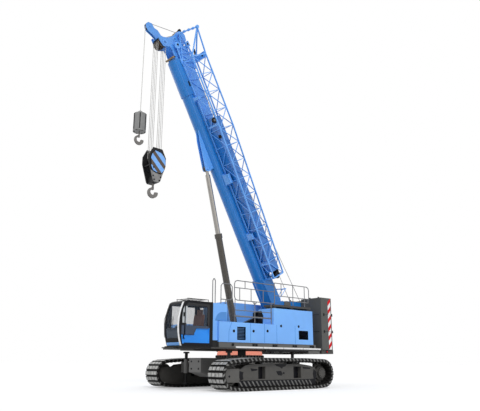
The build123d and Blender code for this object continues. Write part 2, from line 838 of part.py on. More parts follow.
def roof_guard():
    z = cab_roof + 80
    bars = []
    for y in (cab_inner + 110, cab_outer - 110):
        bars.append(round_bar((cab_rear + 120, y, z), (cab_front - 330, y, z), 12))
    for index in range(6):
        x = cab_rear + 200 + index * 150
        bars.append(round_bar((x, cab_inner + 110, z), (x, cab_outer - 110, z), 9))
    for x in (cab_rear + 140, cab_front - 350):
        for y in (cab_inner + 110, cab_outer - 110):
            bars.append(round_bar((x, y, cab_roof + seat_gap), (x, y, z), 10))
    return fuse(*bars)


def cab_base():
    z = cab_floor - seat_gap
    tray = block_of((deck_front + seat_gap, cab_front + 30), (cab_inner - 10, cab_outer - 20), (z - 70, z))
    step = block_of((cab_front + 30, cab_front + 190), (cab_inner + 60, cab_outer - 120), (z - 70, z - 35))
    arm = block_of((deck_front + seat_gap, cab_rear + 500), (cab_inner - 180, cab_inner - 10), (z - 70, z))
    return fuse(tray, step, arm)


# Boom

boom_place = Pos(foot_x, 0, foot_z) * Rot(0, -boom_angle, 0)


def boom_outline(inset):
    half = boom_width / 2 - inset
    top = boom_depth / 2 - inset
    belly = belly_radius - inset
    centre = -boom_depth / 2 + belly_radius
    start = centre - math.sqrt(belly ** 2 - half ** 2)
    edge = max(50.0 - inset * 0.4, 8.0)
    lines = [
        Line((-half, start), (-half, top - edge)),
        Line((-half, top - edge), (-half + edge, top)),
        Line((-half + edge, top), (half - edge, top)),
        Line((half - edge, top), (half, top - edge)),
        Line((half, top - edge), (half, start)),
        ThreePointArc((half, start), (0, centre - belly), (-half, start)),
    ]
    return make_face(Plane.YZ * Wire(lines))


def boom_prism(inset, s_low, s_high):
    return Pos(s_low, 0, 0) * extrude(boom_outline(inset), amount=s_high - s_low, dir=(1, 0, 0))


def boom_tube(index, s_low, s_high):
    """A section's tube with the thick collar at its mouth that carries the next one."""
    outer = index * boom_nest
    tube = boom_prism(outer, s_low, s_high) - boom_prism(outer + boom_wall, s_low - 5, s_high + 5)
    next_skin = (index + 1) * boom_nest
    collar = boom_prism(outer - collar_stand, s_high - collar_length, s_high)
    collar -= boom_prism(next_skin - seat_gap, s_high - collar_length - 5, s_high + 5)
    return fuse(tube, collar)


def section_start(index):
    return section_first + section_stagger * (index - 1)


def section_end(index):
    return boom_end + section_step * index


def boom_base():
    """The outer tube with its closed tail, the pivot's boss, its stubs and the thick sides beside it."""
    half = cheek_inner - 8
    tube = boom_tube(0, boom_tail, boom_end)
    tail = boom_prism(0, boom_tail - 50, boom_tail + 30)
    boss = pin_along_y(pivot_s, 0, pivot_radius + 95, -half, half)
    web = sheet_of([(180, -260), (1700, -boom_depth / 2 + 90), (1700, boom_depth / 2 - 60), (560, boom_depth / 2 - 20),
                    (180, 200)], -half, half)
    stub_reach = cheek_inner + cheek_thick + 40
    stubs = pin_along_y(pivot_s, 0, pivot_radius, -stub_reach, stub_reach)
    return fuse(tube, tail, boss, web - boom_prism(0, 0, 2000), stubs)


def lift_bracket():
    """Two ears and a pin under the boom for the lift cylinder's eye."""
    bracket = [
        (eye_s + 2150, -boom_depth / 2 + 200), (eye_s + 1150, eye_h + 120), (eye_s + 120, eye_h - 120),
        (eye_s - 60, eye_h - 150), (eye_s - 150, eye_h), (eye_s - 60, -200), (eye_s + 500, -150),
    ]
    inner = eye_half + 6
    skin = boom_prism(-seat_gap, eye_s - 2000, eye_s + 3000)
    ears = both_sides(sheet_of(bracket, inner, inner + ear_thick) - skin)
    reach_y = inner + ear_thick + 20
    return fuse(*ears, pin_along_y(eye_s, eye_h, eye_pin, -reach_y, reach_y))


def boom_section(index):
    return boom_tube(index, section_start(index), section_end(index))


def head_section():
    """The inmost tube with the head: two side plates round the sheaves and a narrow nose."""
    index = 4
    outer = index * boom_nest
    end = section_end(index)
    tube = boom_prism(outer, section_start(index), end)
    tube -= boom_prism(outer + boom_wall, section_start(index) - 5, end - 300)
    start = section_end(index - 1) + 25
    side_plate = [
        (start, -215), (11900, -190), (12060, -250), (12110, -560), (12334, -640), (12600, -650), (12640, -580),
        (12500, -445), (12440, -180), (12475, 115), (12600, 340), (12645, 560), (12600, 700), (12450, 765),
        (12230, 740), (12020, 480), (11800, 320), (start, 215),
    ]
    nose_plate = [
        (12505, -640), (12700, -740), (12900, -890), (13045, -905), (13170, -860), (13235, -716), (13150, -560),
        (12960, -530), (12840, -400), (12640, -340), (12505, -380),
    ]
    sides = both_sides(sheet_of(side_plate, head_half - head_plate, head_half))
    nose = both_sides(sheet_of(nose_plate, nose_inner, nose_inner + head_plate))
    pins = [pin_along_y(s, h, radius, -reach_y, reach_y) for s, h, radius, reach_y in (
        (main_sheave_s, main_sheave_h, 55, head_half + 12),
        (top_sheave_s, top_sheave_h, 40, head_half + 12),
        (nose_sheave_s, nose_sheave_h, 40, nose_inner + head_plate + 12),
    )]
    bulkhead = block_of((12500, 12540), (5 - head_half, head_half - 5), (-620, -430))
    neck = block_of((start, end + 40), (5 - head_half, head_half - 5), (-180, 180))
    return fuse(tube, *sides, *nose, *pins, bulkhead, neck)


def sheave(s, h, radius, y, bore):
    half = sheave_thick / 2
    wheel = pin_along_y(s, h, radius, y - half, y + half)
    groove = pin_along_y(s, h, radius + 5, y - 14, y + 14) - pin_along_y(s, h, radius - 24, y - 14, y + 14)
    return wheel - groove - pin_along_y(s, h, bore + run_gap, y - 60, y + 60)


def main_sheaves():
    return [sheave(main_sheave_s, main_sheave_h, main_sheave_r, y * main_sheave_pitch, 55)
            for y in (-1.5, -0.5, 0.5, 1.5)]


def guide_sheaves():
    return [sheave(top_sheave_s, top_sheave_h, top_sheave_r, y, 40) for y in (-100, 100)]


def nose_sheave():
    return [sheave(nose_sheave_s, nose_sheave_h, nose_sheave_r, 0, 40)]


# Stowed jib: a lattice of four chords along the boom's left flank, with a box stage inside it

# along, (inner y, outer y), (low h, high h)
jib_stations = (
    (1650.0, (360.0, 820.0), (-60.0, 560.0)),
    (jib_joint_s, (360.0, 1010.0), (-20.0, 755.0)),
    (11300.0, (360.0, 1010.0), (-20.0, 755.0)),
)


def jib_point(s, across, up):
    """A chord's place at a distance along the boom."""
    for (s0, y0, h0), (s1, y1, h1) in zip(jib_stations, jib_stations[1:]):
        if s <= s1:
            share = (s - s0) / (s1 - s0)
            return (s, y0[across] + (y1[across] - y0[across]) * share, h0[up] + (h1[up] - h0[up]) * share)


def jib_bay_ends():
    (tip, _, _), (joint, _, _), (root, _, _) = jib_stations
    taper = [tip + (joint - tip) * index / taper_bays for index in range(taper_bays)]
    return taper + [joint + (root - joint) * index / root_bays for index in range(root_bays + 1)]


def jib_shelf(s):
    inner, outer = jib_point(s, 0, 0), jib_point(s, 1, 0)
    return block_of((s - 40, s + 40), (inner[1], outer[1]), (inner[2] - 15, stage_h[0] - seat_gap))


def jib():
    corners = ((0, 0), (1, 0), (1, 1), (0, 1))
    ends = jib_bay_ends()
    bars = []
    for across, up in corners:
        for (a, _, _), (b, _, _) in zip(jib_stations, jib_stations[1:]):
            bars.append(square_bar(jib_point(a, across, up), jib_point(b, across, up), jib_chord))
    for index, (a, b) in enumerate(zip(ends, ends[1:])):
        here, there = (a, b) if index % 2 else (b, a)
        for (y0, h0), (y1, h1) in zip(corners, corners[1:] + corners[:1]):
            bars.append(square_bar(jib_point(here, y0, h0), jib_point(there, y1, h1), jib_lace))
    for s in ends:
        width = jib_chord if s in (ends[0], ends[-1]) else jib_lace
        ring = [jib_point(s, y, h) for y, h in corners]
        for a, b in zip(ring, ring[1:] + ring[:1]):
            bars.append(square_bar(a, b, width))
    low_in, low_out, high_out, high_in = [jib_point(ends[-1], y, h) for y, h in corners]
    for a, b in ((high_out, fork_ball), (high_in, fork_ball), (low_out, fork_ball), (high_in, fork_eye),
                 (low_in, fork_eye), (fork_ball, fork_eye)):
        bars.append(square_bar(a, b, jib_chord))
    bars.append(pin_along_y(fork_ball[0], fork_ball[2], 72, fork_ball[1] - 50, fork_ball[1] + 50))
    bars.append(pin_along_y(fork_eye[0], fork_eye[2], 75, fork_eye[1] - 28, fork_eye[1] + 30))
    bars.append(block_of((ends[-1] - 120, ends[-1] + 120), (high_in[1], high_out[1]), (high_in[2] - 70, high_in[2] + 40)))
    bars += [jib_shelf(2300.0), jib_shelf(8400.0)]
    bars.append(pin_along_y(ends[0], 300, 25, jib_point(ends[0], 0, 0)[1], jib_point(ends[0], 1, 0)[1]))
    return fuse(*bars)


def jib_stage():
    return block_of(stage_ends, stage_y, stage_h)


def jib_sheaves():
    """Two sheaves on the tip's axle and one in a fork on the inner stage."""
    wheels = [sheave(jib_stations[0][0], 300, tip_sheave_r, y, 25) for y in (500, 690)]
    s, h = stage_ends[1] - 170, stage_h[1] + 150
    fork = both_sides(block_of((s - 35, s + 35), (34, 50), (stage_h[1] + seat_gap, h + 40)))
    fork.append(block_of((s - 60, s + 60), (-50, 50), (stage_h[1] + seat_gap, stage_h[1] + 20)))
    fork.append(pin_along_y(s, h, 25, -50, 50))
    wheels.append(Pos(0, 500, 0) * fuse(*fork))
    wheels.append(Pos(0, 500, 0) * sheave(s, h, 120, 0, 25))
    return wheels


# along from, along to, lowest, highest
bracket_rows = ((3430, 3760, -170, 400), (5930, 6420, -200, 740), (9600, 9800, -170, 280))


def jib_brackets():
    pieces = []
    wall = boom_width / 2 + seat_gap
    for s_low, s_high, h_low, h_high in bracket_rows:
        lowest = min(jib_point(s, 0, 0)[2] for s in (s_low, s_high)) - jib_chord / 2 - 2
        side = block_of((s_low, s_high), (wall, wall + 40), (h_low, h_high))
        shelf = block_of((s_low + 40, s_high - 40), (wall, wall + 330), (h_low, lowest))
        pieces.append(fuse(side, shelf))
    return pieces


# Lift cylinder, from its foot in the frame to the eye on the boom

def eye_world():
    a = math.radians(boom_angle)
    return (foot_x + eye_s * math.cos(a) - eye_h * math.sin(a), foot_z + eye_s * math.sin(a) + eye_h * math.cos(a))


eye_at = eye_world()
lift_span = math.dist(eye_at, (cylinder_foot_x, cylinder_foot_z))
lift_angle = math.degrees(math.atan2(eye_at[1] - cylinder_foot_z, eye_at[0] - cylinder_foot_x))
lift_place = Pos(cylinder_foot_x, 0, cylinder_foot_z) * Rot(0, -lift_angle, 0)


def lying_round(x_low, x_high, radius):
    return Pos((x_low + x_high) / 2, 0, 0) * Rot(0, 90, 0) * Cylinder(radius, x_high - x_low)


def lift_barrel():
    body = lying_round(150, barrel_length, barrel_radius)
    neck = lying_round(barrel_length - 180, barrel_length, barrel_radius + 22)
    foot = pin_along_y(0, 0, 150, -foot_half + 20, foot_half - 20)
    pin = pin_along_y(0, 0, foot_pin, -foot_half, foot_half)
    shank = lying_round(20, 200, 100)
    bore = lying_round(420, barrel_length + 10, rod_radius + run_gap)
    return fuse(body, neck, foot, pin, shank) - bore


def lift_rod():
    shank = lying_round(rod_start, lift_span - 280, rod_radius)
    neck = lying_round(lift_span - 300, lift_span - 60, eye_half - 8)
    eye = pin_along_y(lift_span, 0, eye_radius, -eye_half, eye_half)
    return fuse(shank, neck, eye) - pin_along_y(lift_span, 0, eye_pin + run_gap, -eye_half - 10, eye_half + 10)


# Hook block and weight, hanging plumb under their sheaves

main_axle = boom_point(main_sheave_s, main_sheave_h)
nose_axle = boom_point(nose_sheave_s, nose_sheave_h)
fall_ys = tuple(y * main_sheave_pitch for y in (-1.5, -0.5, 0.5, 1.5))
block_axle_z = block_top - 420
groove_depth = 24.0
rope_stand = rope_radius + seat_gap - groove_depth
aux_x = nose_axle[0] + nose_sheave_r + rope_stand


def main_falls():
    ropes = []
    for y in fall_ys:
        for side in (-1, 1):
            x = main_axle[0] + side * (main_sheave_r + rope_stand)
            ropes.append(round_bar((x, y, block_axle_z), (x, y, main_axle[1]), rope_radius))
    return ropes


def hook_block():
    x = main_axle[0]
    half = block_width / 2
    outline = [(x - half * 0.55, block_top), (x + half * 0.55, block_top), (x + half, block_top - 330),
               (x + half, block_top - 620), (x + half * 0.45, block_bottom + 60), (x + 120, block_bottom),
               (x - 120, block_bottom), (x - half * 0.45, block_bottom + 60), (x - half, block_top - 620),
               (x - half, block_top - 330)]
    parts = []
    for side in (-1, 1):
        low, high = sorted((side * (block_half - 35), side * block_half))
        parts.append(sheet_of(outline, low, high))
    parts.append(pin_along_y(x, block_axle_z, 60, -block_half - 25, block_half + 25))
    for y in fall_ys:
        parts.append(sheave(x, block_axle_z, main_sheave_r, y, 50))
    parts.append(block_of((x - 110, x + 110), (-block_half + 10, block_half - 10), (block_bottom, block_bottom + 240)))
    for side in (-1, 1):
        spacer_x = x + side * half * 0.75
        parts.append(round_bar((spacer_x, -block_half + 10, block_top - 700), (spacer_x, block_half - 10, block_top - 700), 25))
    return fuse(*parts)


def hook_shape(x, top, bottom, thick):
    """A single hook: a shank and a curl swept as a ring with an open throat."""
    span = top - bottom
    outer = span * 0.36
    centre_z = bottom + outer
    ring = pin_along_y(x, centre_z, outer, -thick / 2, thick / 2)
    ring -= pin_along_y(x + outer * 0.08, centre_z + outer * 0.08, outer * 0.5, -thick, thick)
    mouth = [(x - outer * 2, centre_z + outer * 0.15), (x - outer * 0.1, centre_z + outer * 0.15),
             (x - outer * 0.1, centre_z + outer * 1.6), (x - outer * 2, centre_z + outer * 1.6)]
    ring -= sheet_of(mouth, -thick, thick)
    shank = Pos(x, 0, (top + centre_z + outer * 0.7) / 2) * Cylinder(thick * 0.4, top - centre_z - outer * 0.7)
    return fuse(ring, shank)


def main_hook():
    return hook_shape(main_axle[0], block_bottom - seat_gap, hook_bottom, 100)


def aux_rope():
    return [round_bar((aux_x, 0, weight_top + seat_gap), (aux_x, 0, nose_axle[1]), rope_radius)]


def aux_weight():
    middle = (weight_bottom + weight_top - 130) / 2
    body = Pos(aux_x, 0, middle) * Cylinder(weight_radius, weight_top - 130 - weight_bottom)
    cone = Pos(aux_x, 0, weight_top - 65) * Cone(weight_radius * 0.8, 60, 130)
    return fuse(body, cone)


def aux_hook():
    return hook_shape(aux_x, weight_bottom - seat_gap, aux_hook_bottom, 70)


def export_all():
    os.makedirs("parts", exist_ok=True)
    slabs = counterweights()
    nodes = {
        "carbody": [carbody()],
        "jack_legs": jacks(),
        "slewing_ring": [slewing_ring()],
        "track_left": [track()],
        "track_right": [mirror(track(), about=Plane.XZ)],
        "track_frame_left": [track_frame()],
        "track_frame_right": [mirror(track_frame(), about=Plane.XZ)],
        "idlers": both_sides(idler()),
        "drive_sprockets": both_sides(sprocket()),
        "track_rollers": [piece for roller in ground_rollers() + carrier_rollers() for piece in both_sides(roller)],
        "turntable_frame": [turntable()],
        "boom_cheek_left": [cheek()],
        "boom_cheek_right": [mirror(cheek(), about=Plane.XZ)],
        "lift_foot_ears": lift_foot_ears(),
        "deck_skirts": skirts(),
        "side_housing_left": [side_housing(1)],
        "side_housing_right": [side_housing(-1)],
        "housing_grilles": grilles(),
        "engine_block": [engine()],
        "rear_locker": [rear_locker()],
        "walkways": walkways(),
        "guardrails": guardrails(),
        "tail_carrier": [tail_carrier()],
        "counterweight_low": [slabs[0]],
        "counterweight_middle": [slabs[1]],
        "counterweight_top": [slabs[2]],
        "winches": [winch(main_winch_x, main_winch_z, main_winch_r, winch_half),
                    winch(aux_winch_x, aux_winch_z, aux_winch_r, winch_half)],
        **cab_panels(),
        "cab_glass": cab_glass(),
        "cab_door": [cab_door()],
        "cab_door_glass": [door_glass()],
        "cab_seat": [cab_seat()],
        "cab_console": cab_console(),
        "cab_roof_guard": [roof_guard()],
        "cab_base": [cab_base()],
        "boom_base": [boom_place * boom_base()],
        "boom_lift_bracket": [boom_place * lift_bracket()],
        "boom_section_2": [boom_place * boom_section(1)],
        "boom_section_3": [boom_place * boom_section(2)],
        "boom_section_4": [boom_place * boom_section(3)],
        "boom_head": [boom_place * head_section()],
        "head_sheaves": [boom_place * piece for piece in main_sheaves() + guide_sheaves() + nose_sheave()],
        "stowed_jib": [boom_place * jib()],
        "jib_inner_stage": [boom_place * jib_stage()],
        "jib_sheaves": [boom_place * piece for piece in jib_sheaves()],
        "jib_brackets": [boom_place * piece for piece in jib_brackets()],
        "lift_barrel": [lift_place * lift_barrel()],
        "lift_rod": [lift_place * lift_rod()],
        "main_rope_falls": main_falls(),
        "hook_block": [hook_block()],
        "main_hook": [main_hook()],
        "aux_rope_fall": aux_rope(),
        "aux_weight": [aux_weight()],
        "aux_hook": [aux_hook()],
    }
    for name, pieces in nodes.items():
        export_step(together(pieces), "parts/" + name + ".step")
    print("nodes", len(nodes), "lift angle", round(lift_angle, 3), "span", round(lift_span, 1))


export_all()
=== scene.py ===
# %% [markdown]
# A telescopic crawler crane: tracks under a slewing upper, a boom raised to 61 degrees, and two hooks.
# Its exact solids are made elsewhere and come in as a fixed frame, so this lesson only dresses them.
# Everything below is in metres, with X forward, Y to the crane's left and Z up from the ground.

# %% Load the frame
import json
import math

import bmesh
import bpy
from mathutils import Matrix, Vector


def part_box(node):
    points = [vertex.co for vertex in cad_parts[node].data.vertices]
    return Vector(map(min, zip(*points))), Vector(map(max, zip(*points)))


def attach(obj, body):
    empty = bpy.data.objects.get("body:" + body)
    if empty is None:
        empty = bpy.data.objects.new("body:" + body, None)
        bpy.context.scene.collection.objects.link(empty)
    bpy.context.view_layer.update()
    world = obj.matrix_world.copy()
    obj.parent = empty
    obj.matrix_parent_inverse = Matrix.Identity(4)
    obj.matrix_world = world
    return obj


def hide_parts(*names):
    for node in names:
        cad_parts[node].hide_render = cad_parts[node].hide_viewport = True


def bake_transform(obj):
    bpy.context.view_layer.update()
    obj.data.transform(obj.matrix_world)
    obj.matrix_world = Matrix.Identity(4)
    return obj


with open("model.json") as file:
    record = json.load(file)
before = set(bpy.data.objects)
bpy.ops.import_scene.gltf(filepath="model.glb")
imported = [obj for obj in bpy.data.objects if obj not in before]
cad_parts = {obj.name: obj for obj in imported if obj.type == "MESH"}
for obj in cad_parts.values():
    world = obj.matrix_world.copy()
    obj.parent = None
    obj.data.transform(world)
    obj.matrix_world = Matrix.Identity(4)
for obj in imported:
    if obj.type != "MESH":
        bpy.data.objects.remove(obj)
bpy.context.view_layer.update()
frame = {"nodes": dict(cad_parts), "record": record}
record = frame["record"]
nodes = frame["nodes"]

# %% [markdown]
# A camera is a place, a direction and a lens. Two turns give the direction: yaw about the vertical and
# pitch up from level. The crane was seen from its front left, low down, so the lens tilts up at it.
# The lens length follows from how many pixels one metre covers at one metre's distance.

# %% Camera
image_width = 480
sensor_width = 36.0
pixels_per_metre = 548.0
camera_reach = 500.0
camera_place = Vector((14.90, 16.95, 0.98))
camera_yaw = math.radians(41.3)
camera_pitch = math.radians(15.9)
camera_roll = math.radians(0.2)

forward = Vector((-math.sin(camera_yaw) * math.cos(camera_pitch),
                  -math.cos(camera_yaw) * math.cos(camera_pitch), math.sin(camera_pitch)))
right = Vector((-math.cos(camera_yaw), math.sin(camera_yaw), 0))
turn = Matrix((right, right.cross(forward), -forward)).transposed().to_4x4()
camera_data = bpy.data.cameras.new("camera")
camera_data.sensor_width = sensor_width
camera_data.lens = pixels_per_metre / image_width * sensor_width
camera_data.clip_end = camera_reach
camera = bpy.data.objects.new("camera", camera_data)
bpy.context.scene.collection.objects.link(camera)
camera.matrix_world = Matrix.Translation(camera_place) @ turn @ Matrix.Rotation(camera_roll, 4, "Z")
bpy.context.scene.camera = camera
print("lens", round(camera_data.lens, 2), "mm")

# %% [markdown]
# A shader is a net of nodes. One helper adds a node and fills its inputs, each with a plain value or with
# the output of an earlier node, which makes a link. The others each wrap one common node: a sum, a change
# of range, a mix of two colours, and the place of a point in its own piece.

# %% Shader helpers


def fill(tree, socket, value):
    if isinstance(value, bpy.types.NodeSocket):
        tree.links.new(value, socket)
    else:
        socket.default_value = value


def add_node(tree, kind, inputs=None):
    node = tree.nodes.new("ShaderNode" + kind)
    for key, value in (inputs or {}).items():
        fill(tree, node.inputs[key], value)
    return node


def math_node(tree, operation, *values):
    node = add_node(tree, "Math", dict(enumerate(values)))
    node.operation = operation
    return node.outputs[0]


def mapped(tree, value, low, high, span=(0.0, 1.0)):
    """A value moved from its span to the range from low to high."""
    inputs = {"Value": value, "From Min": span[0], "From Max": span[1], "To Min": low, "To Max": high}
    return add_node(tree, "MapRange", inputs).outputs["Result"]


def mixed(tree, share, first, second):
    """The first colour where the share is 0, the second where it is 1."""
    return add_node(tree, "MixRGB", {"Fac": share, "Color1": first, "Color2": second}).outputs["Color"]


def object_place(tree):
    return add_node(tree, "TexCoord").outputs["Object"]


def object_axes(tree):
    return add_node(tree, "SeparateXYZ", {0: object_place(tree)}).outputs


print("shader helpers ready")

# %% [markdown]
# Colours should come out as they are written, so the plain Standard view is used and the light is kept
# even. A white sky lights every side. One wide, soft sun from the front left gives each edge a bright and a
# dark side, and a weak one fills in. Only rays that come straight from the camera, or by a mirror or glass,
# see the sky at full white.

# %% Sky and lamps
bpy.context.scene.view_settings.view_transform = "Standard"
sky_strength = 0.62
world = bpy.data.worlds.new("studio")
bpy.context.scene.world = world
world.use_nodes = True
tree = world.node_tree
tree.nodes.clear()
rays = add_node(tree, "LightPath").outputs
direct = math_node(tree, "MAXIMUM", rays["Is Camera Ray"], rays["Is Transmission Ray"])
seen = math_node(tree, "MAXIMUM", direct, rays["Is Glossy Ray"])
lit = add_node(tree, "Background", {"Color": (0.95, 0.97, 1.0, 1.0), "Strength": sky_strength})
plain = add_node(tree, "Background", {"Color": (1.0, 1.0, 1.0, 1.0), "Strength": 1.0})
sky = add_node(tree, "MixShader", {0: seen, 1: lit.outputs[0], 2: plain.outputs[0]})
add_node(tree, "OutputWorld", {"Surface": sky.outputs[0]})


def sun(name, strength, width_deg, direction):
    data = bpy.data.lights.new(name, "SUN")
    data.energy = strength
    data.angle = math.radians(width_deg)
    lamp = bpy.data.objects.new(name, data)
    bpy.context.scene.collection.objects.link(lamp)
    lamp.rotation_mode = "QUATERNION"
    lamp.rotation_quaternion = Vector(direction).to_track_quat("-Z", "Y")


sun("key_sun", 1.35, 25, (-0.35, -0.75, -0.75))
sun("fill_sun", 0.35, 60, (-0.9, 0.1, -0.4))
print("lamps", len(bpy.data.lights))

# %% [markdown]
# The floor is a pale disc that fades into the white sky. It is a little bright by itself for rays from the
# camera, which hides the horizon, but its own diffuse part still darkens under the crane and keeps a soft
# shadow.

# %% Floor
floor_reach = 240.0
floor_glow = 0.30
floor_grey = 0.80
floor_mesh = bpy.data.meshes.new("floor")
bm = bmesh.new()
bmesh.ops.create_circle(bm, cap_ends=True, segments=96, radius=floor_reach)
bm.to_mesh(floor_mesh)
bm.free()
floor = bpy.data.objects.new("floor", floor_mesh)
bpy.context.scene.collection.objects.link(floor)
floor_material = bpy.data.materials.new("floor_pale")
floor_material.use_nodes = True
tree = floor_material.node_tree
tree.nodes.clear()
rays = add_node(tree, "LightPath").outputs
level = math_node(tree, "MULTIPLY", rays["Is Camera Ray"], floor_glow)
glow = add_node(tree, "Emission", {"Strength": level})
diffuse = add_node(tree, "BsdfDiffuse", {"Color": (floor_grey, floor_grey, floor_grey, 1.0)})
both = add_node(tree, "AddShader", {0: diffuse.outputs[0], 1: glow.outputs[0]})
add_node(tree, "OutputMaterial", {"Surface": both.outputs[0]})
floor.data.materials.append(floor_material)
print("floor", floor_reach, "m")

# %% [markdown]
# Paint on a machine is never one flat colour. Broad, faint patches come from dust and light wear, and a fine
# grain breaks up the gloss. One recipe makes every paint here: a base colour, a darker and a paler
# neighbour, and a noise that chooses between them. Grime adds dust that gets thinner up to a given height.
# The noise reads object coordinates, which stay put in every view.

# %% Paint recipe
patch_depth = 0.08
grain_scale = 18.0
grime_top = 1.6
dust = (0.30, 0.27, 0.23, 1.0)


def new_material(name):
    material = bpy.data.materials.new(name)
    material.use_nodes = True
    return material, material.node_tree, material.node_tree.nodes["Principled BSDF"]


def noise(tree, scale, detail=3.0, roughness=0.55):
    inputs = {"Vector": object_place(tree), "Scale": scale, "Detail": detail, "Roughness": roughness}
    return add_node(tree, "TexNoise", inputs).outputs["Fac"]


def ramp(tree, factor, stops):
    node = add_node(tree, "ValToRGB", {"Fac": factor})
    elements = node.color_ramp.elements
    while len(elements) < len(stops):
        elements.new(0.5)
    for element, (place, colour) in zip(elements, stops):
        element.position = place
        element.color = (*colour, 1.0)
    return node.outputs["Color"]


def shade(colour, factor):
    return tuple(min(1.0, part * factor) for part in colour)


def worn(tree, factor, colour, dark, pale, low=0.3, high=0.7):
    """A colour that goes from a darker to a paler shade between two values of the factor."""
    return ramp(tree, factor, [(low, shade(colour, dark)), (high, shade(colour, pale))])


def bump(tree, shader, height, strength, distance):
    node = add_node(tree, "Bump", {"Height": height, "Strength": strength, "Distance": distance})
    fill(tree, shader.inputs["Normal"], node.outputs["Normal"])


def roughness_range(tree, shader, factor, low, high):
    fill(tree, shader.inputs["Roughness"], mapped(tree, factor, low, high))


def paint(name, colour, rough=(0.28, 0.42), patch_scale=0.7, grime=0.0, specular=0.5, coat=0.0):
    material, tree, shader = new_material(name)
    fill(tree, shader.inputs["Specular IOR Level"], specular)
    fill(tree, shader.inputs["Coat Weight"], coat)
    fill(tree, shader.inputs["Coat Roughness"], 0.08)
    darker, paler = shade(colour, 1 - patch_depth), shade(colour, 1 + patch_depth)
    tint = ramp(tree, noise(tree, patch_scale), [(0.30, darker), (0.50, colour), (0.72, paler)])
    if grime:
        reach = mapped(tree, object_axes(tree)["Z"], grime, 0.0, (0.0, grime_top))
        share = math_node(tree, "MULTIPLY", reach, noise(tree, 5.0, 6.0, 0.7))
        tint = mixed(tree, share, tint, dust)
    fill(tree, shader.inputs["Base Color"], tint)
    grain = noise(tree, grain_scale, 5.0)
    roughness_range(tree, shader, grain, *rough)
    bump(tree, shader, grain, 0.08, 0.002)
    return material


print("patches differ by", patch_depth)

# %% [markdown]
# The record names a finish for each exact solid: blue paint for the boom and housings, cast steel for the
# tracks, chrome for the lift rod. Each finish gets a material of that name, in linear colour values. Some
# solids and trim have a shade of their own, and a last list names the solids that get each such shade.

# %% Finishes


def metal(name, colour, rough, metallic, scale=25.0, depth=0.15, specular=0.5):
    material, tree, shader = new_material(name)
    fill(tree, shader.inputs["Specular IOR Level"], specular)
    fill(tree, shader.inputs["Metallic"], metallic)
    grain = noise(tree, scale, 5.0)
    fill(tree, shader.inputs["Base Color"], worn(tree, grain, colour, 1 - depth, 1 + depth))
    roughness_range(tree, shader, grain, *rough)
    bump(tree, shader, grain, 0.15, 0.003)
    return material


def woven(name, colour):
    material, tree, shader = new_material(name)
    weave = add_node(tree, "TexWave", {"Vector": object_place(tree), "Scale": 90.0}).outputs["Fac"]
    fill(tree, shader.inputs["Base Color"], worn(tree, weave, colour, 0.7, 1.3, 0.2, 0.8))
    fill(tree, shader.inputs["Roughness"], 0.85)
    bump(tree, shader, weave, 0.3, 0.002)
    return material


def two_tone(name, colour, dark):
    """Door paint: blue under a stepped line, black above it."""
    material, tree, shader = new_material(name)
    axes = object_axes(tree)
    line = mapped(tree, axes["X"], 2.095, 1.845, (3.28, 3.42))
    above = math_node(tree, "GREATER_THAN", axes["Z"], line)
    patches = noise(tree, 1.2)
    tint = worn(tree, patches, colour, 0.92, 1.08)
    fill(tree, shader.inputs["Base Color"], mixed(tree, above, tint, (*dark, 1.0)))
    roughness_range(tree, shader, patches, 0.28, 0.4)
    return material


def cheek_paint(name, inner, outer, cheek_face, shield_foot):
    """Dark inside and behind the shield, paler on the outer faces below the shield's foot."""
    material, tree, shader = new_material(name)
    axes = object_axes(tree)
    outside = math_node(tree, "GREATER_THAN", math_node(tree, "ABSOLUTE", axes["Y"]), cheek_face)
    below = math_node(tree, "LESS_THAN", axes["Z"], shield_foot)
    wear = noise(tree, 5.0)
    tint = worn(tree, wear, outer, 0.85, 1.15)
    bare = math_node(tree, "MULTIPLY", outside, below)
    fill(tree, shader.inputs["Base Color"], mixed(tree, bare, (*inner, 1.0), tint))
    fill(tree, shader.inputs["Specular IOR Level"], 0.3)
    roughness_range(tree, shader, wear, 0.4, 0.55)
    return material


def cab_pane(name, waist=(1.96, 2.12), dark=(0.030, 0.045, 0.070), pale=(0.045, 0.065, 0.095)):
    """Clear glass above, dark tinted glass below the waist of the cab."""
    material, tree, shader = new_material(name)
    streaks = noise(tree, 1.4)
    fill(tree, shader.inputs["Base Color"], ramp(tree, streaks, [(0.35, dark), (0.65, pale)]))
    fill(tree, shader.inputs["Alpha"], mapped(tree, object_axes(tree)["Z"], 0.88, 0.16, waist))
    roughness_range(tree, shader, streaks, 0.04, 0.08)
    return material
